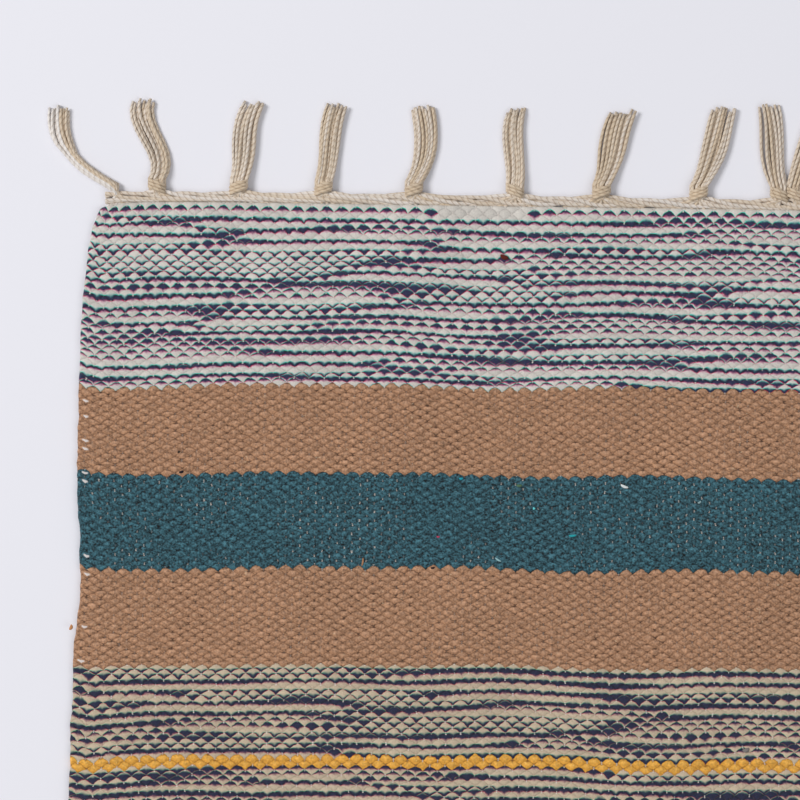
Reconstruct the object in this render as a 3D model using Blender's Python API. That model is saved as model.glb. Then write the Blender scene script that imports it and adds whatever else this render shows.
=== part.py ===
"""Flat-woven cotton kilim, 600 mm by 900 mm, with knotted warp tassels along both ends.

The cloth lies flat on the floor with its underside at z = 0 and its middle at the origin.
The warp runs along Y, so the striped weft runs along X and the two fringed ends face +Y and -Y.
Each tassel is its own solid: the warp ends gathered along the cloth's edge, the knot that ties
them, and the loose strands, which lie on the floor and stand apart from the knot outwards.
"""

import math
import random

import bmesh
import bpy
from mathutils import Vector

# Driving sizes, in metres
CLOTH_WIDTH = 0.600
CLOTH_LENGTH = 0.900
CLOTH_THICKNESS = 0.0030
RIM_ROUNDING = 0.0008
PIECE_GAP = 0.0003
MM = 0.001

# How far each side edge lies inside the straight line of the full width. Beating and weft tension
# draw each stripe in by its own amount, and the corners are pulled in by the outermost tassels.
# Columns: distance from the far end in mm, inset of the left edge in mm, inset of the right edge in mm.
SIDE_INSETS = (
    (0, 7.4, 5.6),
    (4, 5.8, 4.2),
    (10, 3.7, 2.6),
    (20, 2.4, 1.2),
    (40, 0.5, 0.3),
    (75, -0.5, 0.2),
    (115, -0.5, -0.6),
    (135, 0.9, 0.4),
    (155, 1.6, 0.9),
    (166, 0.5, 0.3),
    (178, -0.9, -0.5),
    (197, -1.0, -1.2),
    (208, -1.9, -1.4),
    (240, -2.0, -1.0),
    (290, -0.8, 0.3),
    (340, 0.9, 1.0),
    (400, -0.4, -0.6),
    (500, -0.7, -0.5),
    (560, 0.8, 1.1),
    (620, 0.2, -0.4),
    (690, -1.3, -1.6),
    (760, 0.6, 0.9),
    (830, -0.3, -0.2),
    (870, 0.8, 1.0),
    (886, 2.3, 2.6),
    (895, 4.4, 4.9),
    (900, 6.2, 6.6),
)
SIDE_STEP = 22

# The end edges dip towards the corners, where the outermost warp ends pull back.
CORNER_DIP = 0.0032
CORNER_DIP_REACH = 0.011

# Tassels along the far end, left to right. Columns: knot position along X in mm, then how far the
# bundle has drifted sideways at one third, two thirds and the whole of its length in mm,
# the bundle's width at its tip in mm, and the tips' distance from the end edge in mm.
FAR_TASSELS = (
    (-289.2, -12.7, -18.6, -20.5, 9.6, 37.5),
    (-269.9, 0.3, -4.8, -5.9, 9.8, 40.5),
    (-236.8, 1.7, 2.5, 5.9, 9.4, 40.2),
    (-202.5, 1.9, 2.8, 5.0, 8.6, 39.8),
    (-166.0, 4.1, 4.9, 3.3, 9.8, 39.8),
    (-125.2, 0.1, -0.8, 0.2, 8.0, 39.4),
    (-90.2, 3.6, 5.5, 8.5, 11.4, 39.0),
    (-50.9, 4.9, 7.7, 10.1, 10.6, 40.6),
    (-18.4, -1.9, -2.6, -4.4, 9.6, 42.0),
    (-11.9, 3.2, 6.5, 9.3, 8.4, 41.0),
    (24.0, 0.9, 1.8, 2.0, 9.0, 40.4),
    (61.0, -1.5, -2.2, -4.0, 9.8, 39.6),
    (96.5, 0.8, 2.9, 4.6, 9.2, 41.2),
    (133.0, 1.6, 1.2, -0.6, 8.8, 40.0),
    (170.5, -0.8, -2.8, -5.2, 10.2, 39.4),
    (206.0, 2.2, 4.8, 6.4, 9.6, 40.8),
    (242.0, -1.0, 0.6, 2.2, 8.6, 40.2),
    (271.5, 1.4, 3.4, 4.2, 9.4, 39.8),
    (291.0, 2.6, 5.8, 8.4, 8.8, 38.0),
)

# The near end is tied at an even spacing, and its leans come from a seeded generator.
NEAR_TASSEL_COUNT = 18
NEAR_CORNER_KNOT = 290.5
NEAR_FIRST_KNOT = 270.5
NEAR_LEAN_LIMIT = 6.5
NEAR_CORNER_EXTRA_LEAN = 3.2
NEAR_BOW_LIMIT = 0.2
NEAR_DRIFT_SHARES = (0.36, 0.70)
NEAR_TIP_WIDTHS = (8.6, 10.4)
NEAR_REACHES = (38.6, 41.4)
NEAR_SEED = 11

# Warp ends gathered along the edge into each knot: a thin web, deepest at the knot's neck
GATHER_THICKNESS = 0.0016
GATHER_DEPTH_AT_SPLIT = 0.0020
GATHER_DEPTH_MIDWAY = 0.0024
GATHER_DEPTH_AT_KNOT = 0.0033
GATHER_NECK = 0.0021

# Knot: a short eight-sided barrel along Y, resting on one of its flats
KNOT_START = 0.0024
KNOT_WIDTH = 0.0058
KNOT_HEIGHT = 0.0050
KNOT_SIDES = 8
# Columns: distance along the knot in mm, share of the full width and height.
KNOT_PROFILE = ((0.0, 0.66), (1.6, 1.0), (4.0, 0.98), (5.6, 0.78))
KNOT_LENGTH = KNOT_PROFILE[-1][0] * MM
SMOOTH_ANGLE = math.radians(50)

# Strands of a tassel: five lie on the floor and three lie on top of them. Each leaves the knot
# small and close to its neighbours, and soon takes its full size and place in the open bundle.
LOWER_STRANDS = 5
UPPER_STRANDS = 3
STRAND_HEIGHT = 0.0014
ROOT_PITCH = 0.00086
ROOT_WIDTH = 0.00056
ROOT_STRAND_HEIGHT = 0.0008
ROOT_LOWER_Z = 0.00180
ROOT_UPPER_Z = 0.00305
ROOT_DEPTH = 0.0012
SPREAD_AT_KNOT = 0.72
# Columns: share of the strand's length, share of the way from its root form to its free form.
STRAND_STATIONS = ((0.0, 0.0), (0.20, 1.0), (0.46, 1.0), (0.73, 1.0), (1.0, 1.0))
TIP_UNEVENNESS = 0.0012
SLOPE_STEP = 0.01

# Finishes: linear RGB colour, roughness, metallic
CLOTH_FINISH = ((0.28, 0.18, 0.11), 0.92, 0.0)
WARP_FINISH = ((0.52, 0.43, 0.32), 0.88, 0.0)


def clear_scene():
    """Removes whatever objects the scene opened with."""
    for obj in list(bpy.data.objects):
        bpy.data.objects.remove(obj)


def make_material(name, finish):
    """A Principled material from (colour, roughness, metallic)."""
    colour, roughness, metallic = finish
    material = bpy.data.materials.new(name)
    material.use_nodes = True
    shader = material.node_tree.nodes["Principled BSDF"]
    shader.inputs["Base Color"].default_value = (*colour, 1.0)
    shader.inputs["Roughness"].default_value = roughness
    shader.inputs["Metallic"].default_value = metallic
    return material


def smooth_between(table, column, at):
    """Reads a column of a table at a distance, easing smoothly from row to row."""
    for row, following in zip(table, table[1:]):
        if at <= following[0]:
            share = max(0.0, (at - row[0]) / (following[0] - row[0]))
            eased = share * share * (3 - 2 * share)
            return row[column] + (following[column] - row[column]) * eased
    return table[-1][column]


def side_x(side, from_far_end):
    """X of the left (-1) or right (+1) edge at a distance from the far end, in metres."""
    column = 1 if side < 0 else 2
    inset = smooth_between(SIDE_INSETS, column, from_far_end / MM) * MM
    return side * (CLOTH_WIDTH / 2 - inset)


def side_stations():
    """Distances from the far end where a side edge has a corner: the table's rows, and even steps between."""
    distances = []
    for row, following in zip(SIDE_INSETS, SIDE_INSETS[1:]):
        step = following[0] - row[0]
        parts = max(1, round(step / SIDE_STEP))
        distances += [(row[0] + step * i / parts) * MM for i in range(parts)]
    return distances[1:]


def end_y(x):
    """How far the end edge lies from the middle of the cloth at x: straight, dipping at the corners."""
    from_corner = max(0.0, CLOTH_WIDTH / 2 - abs(x))
    return CLOTH_LENGTH / 2 - CORNER_DIP * math.exp(-from_corner / CORNER_DIP_REACH)


def drift_at(drifts, share):
    """Sideways drift at a share of the length: the cubic through 0 and the three drifts given."""
    places = (0.0, 1 / 3, 2 / 3, 1.0)
    total = 0.0
    for place, value in zip(places, (0.0, *drifts)):
        weight = 1.0
        for other in places:
            if other != place:
                weight *= (share - other) / (place - other)
        total += value * weight
    return total


def near_tassels():
    """Rows like those of FAR_TASSELS for the near end."""
    generator = random.Random(NEAR_SEED)
    inner = NEAR_TASSEL_COUNT - 2
    pitch = 2 * NEAR_FIRST_KNOT / (inner - 1)
    knots = [-NEAR_FIRST_KNOT + pitch * k for k in range(inner)]
    rows = []
    for x in [-NEAR_CORNER_KNOT, *knots, NEAR_CORNER_KNOT]:
        lean = generator.uniform(-NEAR_LEAN_LIMIT, NEAR_LEAN_LIMIT)
        if abs(x) == NEAR_CORNER_KNOT:
            lean += math.copysign(NEAR_CORNER_EXTRA_LEAN, x)
        bow = generator.uniform(-NEAR_BOW_LIMIT, NEAR_BOW_LIMIT)
        drifts = [lean * (share + bow) for share in NEAR_DRIFT_SHARES]
        rows.append((x, *drifts, lean, generator.uniform(*NEAR_TIP_WIDTHS), generator.uniform(*NEAR_REACHES)))
    return tuple(rows)


def split_positions(rows, end):
    """X where one tassel's gathered warp ends stop and the next one's start, corner to corner."""
    from_far_end = 0.0 if end > 0 else CLOTH_LENGTH
    splits = [side_x(-1, from_far_end)]
    splits += [(row[0] + following[0]) / 2 * MM for row, following in zip(rows, rows[1:])]
    splits += [side_x(1, from_far_end)]
    return splits


def loft(mesh, rings):
    """Adds a closed tube through rings of points that all have the same number of corners."""
    loops = [[mesh.verts.new(point) for point in ring] for ring in rings]
    count = len(loops[0])
    mesh.faces.new(reversed(loops[0]))
    mesh.faces.new(loops[-1])
    for lower, upper in zip(loops, loops[1:]):
        for i in range(count):
            j = (i + 1) % count
            mesh.faces.new((lower[i], lower[j], upper[j], upper[i]))


def object_from(mesh, name, material):
    """Links a bmesh as a named object, its faces pointing outwards and its round stretches shaded smooth."""
    bmesh.ops.recalc_face_normals(mesh, faces=mesh.faces)
    data = bpy.data.meshes.new(name)
    mesh.to_mesh(data)
    mesh.free()
    data.shade_smooth()
    data.set_sharp_from_angle(angle=SMOOTH_ANGLE)
    data.materials.append(material)
    obj = bpy.data.objects.new(name, data)
    bpy.context.scene.collection.objects.link(obj)
    return obj


def cloth_outline():
    """Corner points of the cloth seen from above, anticlockwise, each end cut at its tassels' splits."""
    far = [(x, end_y(x)) for x in split_positions(FAR_TASSELS, 1)]
    near = [(x, -end_y(x)) for x in split_positions(near_tassels(), -1)]
    stations = side_stations()
    left = [(side_x(-1, d), CLOTH_LENGTH / 2 - d) for d in stations]
    right = [(side_x(1, d), CLOTH_LENGTH / 2 - d) for d in stations]
    return near + right[::-1] + far[::-1] + left


def build_cloth(material):
    """The woven cloth: one flat sheet with its uneven outline and a softly rounded rim."""
    mesh = bmesh.new()
    face = mesh.faces.new([mesh.verts.new((x, y, 0.0)) for x, y in cloth_outline()])
    raised = bmesh.ops.extrude_face_region(mesh, geom=[face])
    tops = [v for v in raised["geom"] if isinstance(v, bmesh.types.BMVert)]
    bmesh.ops.translate(mesh, verts=tops, vec=(0.0, 0.0, CLOTH_THICKNESS))
    rims = [e for e in mesh.edges if abs(e.verts[0].co.z - e.verts[1].co.z) < CLOTH_THICKNESS / 2]
    bmesh.ops.bevel(
        mesh,
        geom=rims,
        offset=RIM_ROUNDING,
        segments=1,
        profile=0.5,
        affect="EDGES",
        clamp_overlap=True,
    )
    return object_from(mesh, "cloth", material)


def gather_rings(end, x, start, stop):
    """The web of warp ends from the cloth's edge to the knot, as its outline underneath and on top."""

    def web_point(at, out):
        """A point at a distance out from the cloth's end edge, which runs straight from start to stop."""
        share = (at - start) / (stop - start)
        y = end_y(start) + (end_y(stop) - end_y(start)) * share
        return Vector((at, end * (y + PIECE_GAP + out), 0.0))

    left, right = start + PIECE_GAP / 2, stop - PIECE_GAP / 2
    outline = [
        web_point(left, 0.0),
        web_point(right, 0.0),
        web_point(right, GATHER_DEPTH_AT_SPLIT),
        web_point((x + 2 * right) / 3, GATHER_DEPTH_MIDWAY),
        web_point(x + GATHER_NECK, GATHER_DEPTH_AT_KNOT),
        web_point(x - GATHER_NECK, GATHER_DEPTH_AT_KNOT),
        web_point((x + 2 * left) / 3, GATHER_DEPTH_MIDWAY),
        web_point(left, GATHER_DEPTH_AT_SPLIT),
    ]
    lift = Vector((0.0, 0.0, GATHER_THICKNESS))
    return [outline, [point + lift for point in outline]]


def knot_rings(end, x):
    """The knot's rings from the cloth outwards; the widest ones rest on the floor."""
    rings = []
    centre_z = math.cos(math.pi / KNOT_SIDES) * KNOT_HEIGHT / 2
    for along, share in KNOT_PROFILE:
        y = end * (end_y(x) + KNOT_START + along * MM)
        ring = []
        for i in range(KNOT_SIDES):
            angle = 2 * math.pi * (i + 0.5) / KNOT_SIDES
            wide = math.cos(angle) * share * KNOT_WIDTH / 2
            high = math.sin(angle) * share * KNOT_HEIGHT / 2
            ring.append(Vector((x + wide, y, centre_z + high)))
        rings.append(ring)
    return rings


def strand_rings(end, row, slot, upper, tip_shift):
    """One strand from inside the knot to its cut tip, as rings of four points.

    slot is the strand's place across its layer, counted from the layer's middle.
    """
    x, tip_width, reach = row[0] * MM, row[4] * MM, row[5] * MM
    drifts = row[1:4]
    root_y = end_y(x) + KNOT_START + KNOT_LENGTH - ROOT_DEPTH
    length = end_y(x) + reach + tip_shift - root_y
    free_z = STRAND_HEIGHT * 1.5 + PIECE_GAP if upper else STRAND_HEIGHT * 0.5
    root_z = ROOT_UPPER_Z if upper else ROOT_LOWER_Z
    rings = []
    for share, freed in STRAND_STATIONS:
        rise = drift_at(drifts, share + SLOPE_STEP) - drift_at(drifts, share - SLOPE_STEP)
        slope = rise * MM / (2 * SLOPE_STEP * length)
        across = Vector((1.0, -slope * end * freed, 0.0)).normalized()
        free_pitch = tip_width / LOWER_STRANDS * (SPREAD_AT_KNOT + (1 - SPREAD_AT_KNOT) * share)
        pitch = ROOT_PITCH + (free_pitch - ROOT_PITCH) * freed
        width = ROOT_WIDTH + (free_pitch - PIECE_GAP - ROOT_WIDTH) * freed
        height = ROOT_STRAND_HEIGHT + (STRAND_HEIGHT - ROOT_STRAND_HEIGHT) * freed
        middle_x = x + drift_at(drifts, share) * MM
        middle_y = end * (root_y + length * share)
        centre = Vector((middle_x, middle_y, root_z + (free_z - root_z) * freed)) + across * slot * pitch
        side = across * width / 2
        lift = Vector((0.0, 0.0, height / 2))
        rings.append([centre - side - lift, centre + side - lift, centre + side + lift, centre - side + lift])
    return rings


def add_union(target, other):
    """Joins another closed shape to target with an exact Boolean, and hides that shape."""
    other.hide_render = True
    other.display_type = "WIRE"
    modifier = target.modifiers.new(f"join {other.name}", "BOOLEAN")
    modifier.operation = "UNION"
    modifier.solver = "EXACT"
    modifier.object = other


def build_tassel(name, end, row, start, stop, material, generator):
    """One tassel: the knot, with the gathered warp ends and the strands joined to it."""
    x = row[0] * MM
    knot = bmesh.new()
    loft(knot, knot_rings(end, x))
    tassel = object_from(knot, name, material)
    gather = bmesh.new()
    loft(gather, gather_rings(end, x, start, stop))
    add_union(tassel, object_from(gather, f"{name}_gather", material))
    strands = bmesh.new()
    for upper, count in ((False, LOWER_STRANDS), (True, UPPER_STRANDS)):
        for k in range(count):
            slot = k - (count - 1) / 2
            tip_shift = generator.uniform(-TIP_UNEVENNESS, TIP_UNEVENNESS)
            loft(strands, strand_rings(end, row, slot, upper, tip_shift))
    add_union(tassel, object_from(strands, f"{name}_strands", material))


def build_fringe(label, end, rows, material, seed):
    """All the tassels of one end; end is +1 for the far end and -1 for the near end."""
    generator = random.Random(seed)
    splits = split_positions(rows, end)
    for k, row in enumerate(rows):
        build_tassel(f"tassel_{label}_{k:02d}", end, row, splits[k], splits[k + 1], material, generator)


def main():
    """Builds the cloth and the two fringes."""
    clear_scene()
    cloth_material = make_material("striped_cotton", CLOTH_FINISH)
    warp_material = make_material("warp_cotton", WARP_FINISH)
    build_cloth(cloth_material)
    build_fringe("far", 1, FAR_TASSELS, warp_material, seed=3)
    build_fringe("near", -1, near_tassels(), warp_material, seed=5)


main()
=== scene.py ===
"""Looks of a small flat-woven cotton kilim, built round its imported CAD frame.

The cloth is a weft-faced plain weave: every pick floats over one warp and dives under the next, so
its face is a field of small floats. Each stripe is a closed slab whose upper face carries that
relief, and its yarns are coloured float by float. Each tassel is a bunch of plied warp ends, swept
sideways out of the cloth's edge into a wound knot. Lengths are in metres where nothing else is said.
"""

import logging
import math
import random
from dataclasses import dataclass, field
from enum import Enum

import bpy
import numpy as np
from mathutils import Euler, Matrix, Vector

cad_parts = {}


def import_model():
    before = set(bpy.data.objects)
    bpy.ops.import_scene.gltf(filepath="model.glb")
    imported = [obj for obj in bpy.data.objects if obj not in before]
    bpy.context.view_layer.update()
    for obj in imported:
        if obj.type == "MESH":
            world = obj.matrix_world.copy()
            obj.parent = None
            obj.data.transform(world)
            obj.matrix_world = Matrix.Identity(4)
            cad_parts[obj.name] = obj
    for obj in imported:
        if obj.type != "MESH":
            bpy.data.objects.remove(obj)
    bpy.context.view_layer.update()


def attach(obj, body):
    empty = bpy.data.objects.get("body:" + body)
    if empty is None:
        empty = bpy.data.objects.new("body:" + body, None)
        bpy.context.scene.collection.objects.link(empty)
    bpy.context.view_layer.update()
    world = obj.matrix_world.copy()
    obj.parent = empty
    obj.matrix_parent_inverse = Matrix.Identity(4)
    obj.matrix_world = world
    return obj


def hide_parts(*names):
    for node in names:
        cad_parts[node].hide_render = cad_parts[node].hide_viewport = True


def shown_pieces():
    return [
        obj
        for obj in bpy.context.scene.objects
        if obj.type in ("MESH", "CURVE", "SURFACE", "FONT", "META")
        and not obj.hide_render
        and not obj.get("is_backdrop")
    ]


log = logging.getLogger("kilim")
MM = 0.001
TURN = 2 * math.pi
BODY = "root"
YARN_UNIT = 0.01  # The length of yarn that one unit of its own map stands for.
Array = np.ndarray
Socket = bpy.types.NodeSocket
Value = Socket | float
Colour = tuple[float, float, float, float]


# ---- Choices ----
class Weft(Enum):
    """The weft yarns, each by the name of its material slot."""

    IVORY_NAVY = "ivory_navy_weft"
    BEIGE_NAVY = "beige_navy_weft"
    TAN = "tan_weft"
    TEAL = "teal_weft"
    GOLD = "gold_weft"


class End(Enum):
    """The two fringed ends, by the sign of Y that they face."""

    FAR = 1
    NEAR = -1


# ---- Small helpers ----
def linear(red: int, green: int, blue: int) -> Colour:
    """A display colour from 0 to 255 as a linear colour with alpha 1."""
    parts = [c / 255 for c in (red, green, blue)]
    return (*(c / 12.92 if c <= 0.04045 else ((c + 0.055) / 1.055) ** 2.4 for c in parts), 1.0)


def ease(t: Array) -> Array:
    """Smoothstep: 0 below 0, 1 above 1 and 3t^2 - 2t^3 between."""
    t = np.clip(t, 0.0, 1.0)
    return t * t * (3.0 - 2.0 * t)


def eased_table(at: Array, keys: Array, values: Array) -> Array:
    """A table read with smoothstep easing between its rows.

    Args:
        at: where it is read.
        keys: the rows' places, rising.
        values: the rows' values.

    Returns:
        The value at each place.
    """
    row = np.clip(np.searchsorted(keys, at, side="right") - 1, 0, len(keys) - 2)
    t = (at - keys[row]) / (keys[row + 1] - keys[row])
    return values[row] + (values[row + 1] - values[row]) * ease(t)


def mesh_object(
    name: str, points: Array, faces: list[list[int]], material: bpy.types.Material
) -> bpy.types.Object:
    """A smooth-shaded mesh object at the origin.

    Args:
        name: the piece's name.
        points: its points, one row each.
        faces: its faces as lists of point numbers.
        material: its one material.

    Returns:
        The object, linked to the scene.
    """
    loops = np.fromiter((p for face in faces for p in face), np.int32)
    sizes = np.fromiter((len(face) for face in faces), np.int32)
    mesh = bpy.data.meshes.new(name)
    mesh.vertices.add(len(points))
    mesh.loops.add(len(loops))
    mesh.polygons.add(len(faces))
    mesh.vertices.foreach_set("co", np.asarray(points, np.float32).ravel())
    mesh.polygons.foreach_set("loop_start", np.concatenate([[0], np.cumsum(sizes)[:-1]]).astype(np.int32))
    mesh.polygons.foreach_set("vertices", loops)
    mesh.polygons.foreach_set("use_smooth", np.ones(len(faces), bool))
    mesh.update(calc_edges=True)
    mesh.materials.append(material)
    made = bpy.data.objects.new(name, mesh)
    bpy.context.scene.collection.objects.link(made)
    return made


def point_attribute(made: bpy.types.Object, name: str, values: Array) -> None:
    """Writes an attribute that a material reads, with a number or a vector for each point.

    Args:
        made: the piece.
        name: the attribute's name.
        values: one value, or one row of three, for each point.
    """
    kind, key = ("FLOAT", "value") if values.ndim == 1 else ("FLOAT_VECTOR", "vector")
    layer = made.data.attributes.new(name, kind, "POINT")
    layer.data.foreach_set(key, np.asarray(values, np.float32).ravel())


def corner_map(made: bpy.types.Object, name: str, pairs: Array) -> None:
    """Writes a UV map with one pair for each face corner."""
    layer = made.data.uv_layers.new(name=name)
    layer.data.foreach_set("uv", np.asarray(pairs, np.float32).ravel())


def grid_faces(first: int, rows: int, columns: int, flip: bool = False) -> Array:
    """The quads of a grid of points numbered row by row.

    Args:
        first: the number of the grid's first point.
        rows: points down the grid.
        columns: points across it.
        flip: turns the faces over.

    Returns:
        One row of four point numbers for each quad.
    """
    at = first + np.arange(rows * columns).reshape(rows, columns)
    corners = [at[:-1, :-1], at[1:, :-1], at[1:, 1:], at[:-1, 1:]]
    quads = np.stack([c.ravel() for c in corners], axis=1)
    return quads[:, ::-1] if flip else quads


# ---- Node trees ----
class Graph:
    """Writes a node tree as sums: most methods add a node and give back its output."""

    def __init__(self, tree: bpy.types.NodeTree) -> None:
        """Keeps the tree that the nodes go into."""
        self.tree = tree

    def put(self, socket: Socket, value: object) -> None:
        """Links an output to a socket, or sets the socket's own value.

        Args:
            socket: the socket.
            value: the output or the value.
        """
        if isinstance(value, bpy.types.NodeSocket):
            self.tree.links.new(value, socket)
        else:
            socket.default_value = value

    def node(self, kind: str, inputs: dict | None = None, **settings: object) -> bpy.types.Node:
        """Adds a node.

        Args:
            kind: its kind.
            inputs: what goes into its inputs, by their names or numbers.
            settings: its settings.

        Returns:
            The node.
        """
        made = self.tree.nodes.new(kind)
        for name, value in settings.items():
            setattr(made, name, value)
        for key, value in (inputs or {}).items():
            self.put(made.inputs[key], value)
        return made

    def use(self, group: bpy.types.NodeTree, inputs: dict[str, Value]) -> dict[str, Socket]:
        """Adds a node group.

        Args:
            group: the group.
            inputs: what goes into its inputs, by their names.

        Returns:
            Its outputs by name.
        """
        made = self.node("ShaderNodeGroup", node_tree=group)
        for name, value in inputs.items():
            self.put(made.inputs[name], value)
        return {socket.name: socket for socket in made.outputs}

    def math(self, operation: str, *values: Value) -> Socket:
        """A Math node on up to three values."""
        return self.node("ShaderNodeMath", dict(enumerate(values)), operation=operation).outputs[0]

    def add(self, *values: Value) -> Socket:
        """Adds up two values or more, from the last to the first.

        Args:
            values: the values.

        Returns:
            Their sum.
        """
        total = values[-1]
        for value in values[-2::-1]:
            total = self.math("ADD", value, total)
        return total

    def less(self, a: Value, b: Value) -> Socket:
        """a - b."""
        return self.math("SUBTRACT", a, b)

    def times(self, a: Value, b: Value) -> Socket:
        """a times b."""
        return self.math("MULTIPLY", a, b)

    def absolute(self, value: Value) -> Socket:
        """A value without its sign."""
        return self.math("ABSOLUTE", value)

    def sway(self, value: Value, size: Value) -> Socket:
        """A value from 0 to 1 as a swing about zero: the value less a half, times size."""
        return self.times(self.less(value, 0.5), size)

    def step(self, value: Value, low: Value, high: Value, to_low: Value = 0.0, to_high: Value = 1.0) -> Socket:
        """A smooth step of value from to_low at low to to_high at high."""
        given = {"Value": value, "From Min": low, "From Max": high, "To Min": to_low, "To Max": to_high}
        return self.node("ShaderNodeMapRange", given, interpolation_type="SMOOTHSTEP").outputs["Result"]

    def vector(self, *parts: Value) -> Socket:
        """A vector of up to three parts."""
        return self.node("ShaderNodeCombineXYZ", dict(enumerate(parts))).outputs[0]

    def parts(self, vector: Socket) -> tuple[Socket, ...]:
        """The three parts of a vector."""
        return tuple(self.node("ShaderNodeSeparateXYZ", {0: vector}).outputs)

    def noise(self, vector: Socket, scale: float, detail: float = 0.0, roughness: float = 0.5) -> Socket:
        """A Noise Texture's value at a vector, from about 0.2 to 0.8."""
        given = {"Vector": vector, "Scale": scale, "Detail": detail, "Roughness": roughness}
        return self.node("ShaderNodeTexNoise", given).outputs["Fac"]

    def white(self, *parts: Value) -> Socket:
        """A random number for each vector of three whole parts."""
        given = {"Vector": self.vector(*parts)}
        return self.node("ShaderNodeTexWhiteNoise", given, noise_dimensions="3D").outputs["Value"]

    def mix(self, share: Value, a: object, b: object) -> Socket:
        """The colour a, turned towards b by share."""
        return self.node("ShaderNodeMix", {0: share, 6: a, 7: b}, data_type="RGBA", clamp_factor=True).outputs[2]

    def shade(self, colour: Socket, factor: Socket) -> Socket:
        """A colour times a number."""
        return self.node("ShaderNodeVectorMath", {0: colour, "Scale": factor}, operation="SCALE").outputs[0]

    def moved(self, vector: Socket, by: tuple[float, float, float]) -> Socket:
        """A vector moved by a fixed one."""
        return self.node("ShaderNodeVectorMath", {0: vector, 1: by}, operation="ADD").outputs[0]

    def place(self) -> Socket:
        """The point in the object's own coordinates."""
        return self.node("ShaderNodeTexCoord").outputs["Object"]

    def attribute(self, name: str, output: str) -> Socket:
        """An attribute of the piece, as its Fac or its Vector."""
        return self.node("ShaderNodeAttribute", attribute_name=name).outputs[output]

    def surface(self, colour: Socket, height: Socket, roughness: Value, sheen: float, specular: float) -> None:
        """Ends a material's tree with its shader, whose sheen has the roughness 0.6.

        Args:
            colour: the colour.
            height: the height of the bump, in metres.
            roughness: the roughness.
            sheen: how much sheen the fibres give.
            specular: how much the surface mirrors.
        """
        bump = self.node("ShaderNodeBump", {"Strength": 1.0, "Distance": 1.0, "Height": height})
        shader = self.node("ShaderNodeBsdfPrincipled", {
            "Base Color": colour, "Normal": bump.outputs[0], "Roughness": roughness,
            "Sheen Weight": sheen, "Sheen Roughness": 0.6, "Specular IOR Level": specular,
        })
        self.node("ShaderNodeOutputMaterial", {"Surface": shader.outputs[0]})


def new_material(name: str) -> tuple[bpy.types.Material, Graph]:
    """A new material with an empty node tree.

    Args:
        name: the material's name.

    Returns:
        The material, and a Graph on its tree.
    """
    made = bpy.data.materials.new(name)
    made.use_nodes = True
    made.node_tree.nodes.clear()
    return made, Graph(made.node_tree)


def new_group(name: str, ins: dict[str, str], outs: dict[str, str]) -> tuple[bpy.types.NodeTree, Graph, dict, dict]:
    """A new node group with its sockets.

    Args:
        name: the group's name.
        ins: the input names and their kinds.
        outs: the output names and their kinds.

    Returns:
        The group, a Graph on it, its inputs by name, and the sockets that its outputs go into.
    """
    tree = bpy.data.node_groups.new(name, "ShaderNodeTree")
    for way, sockets in (("INPUT", ins), ("OUTPUT", outs)):
        for label, kind in sockets.items():
            tree.interface.new_socket(label, in_out=way, socket_type=kind)
    graph = Graph(tree)
    entry, leave = graph.node("NodeGroupInput"), graph.node("NodeGroupOutput")
    return tree, graph, {k: entry.outputs[k] for k in ins}, {k: leave.inputs[k] for k in outs}


# ---- Finishes ----
NUMBER = "NodeSocketFloat"
CELL = dict.fromkeys(("Pick", "Warp", "Edge", "Up", "Rise", "Tone", "Gap", "Hole"), NUMBER)
YARN_LOOK = {"Color": "NodeSocketColor", "Height": NUMBER}


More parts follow.
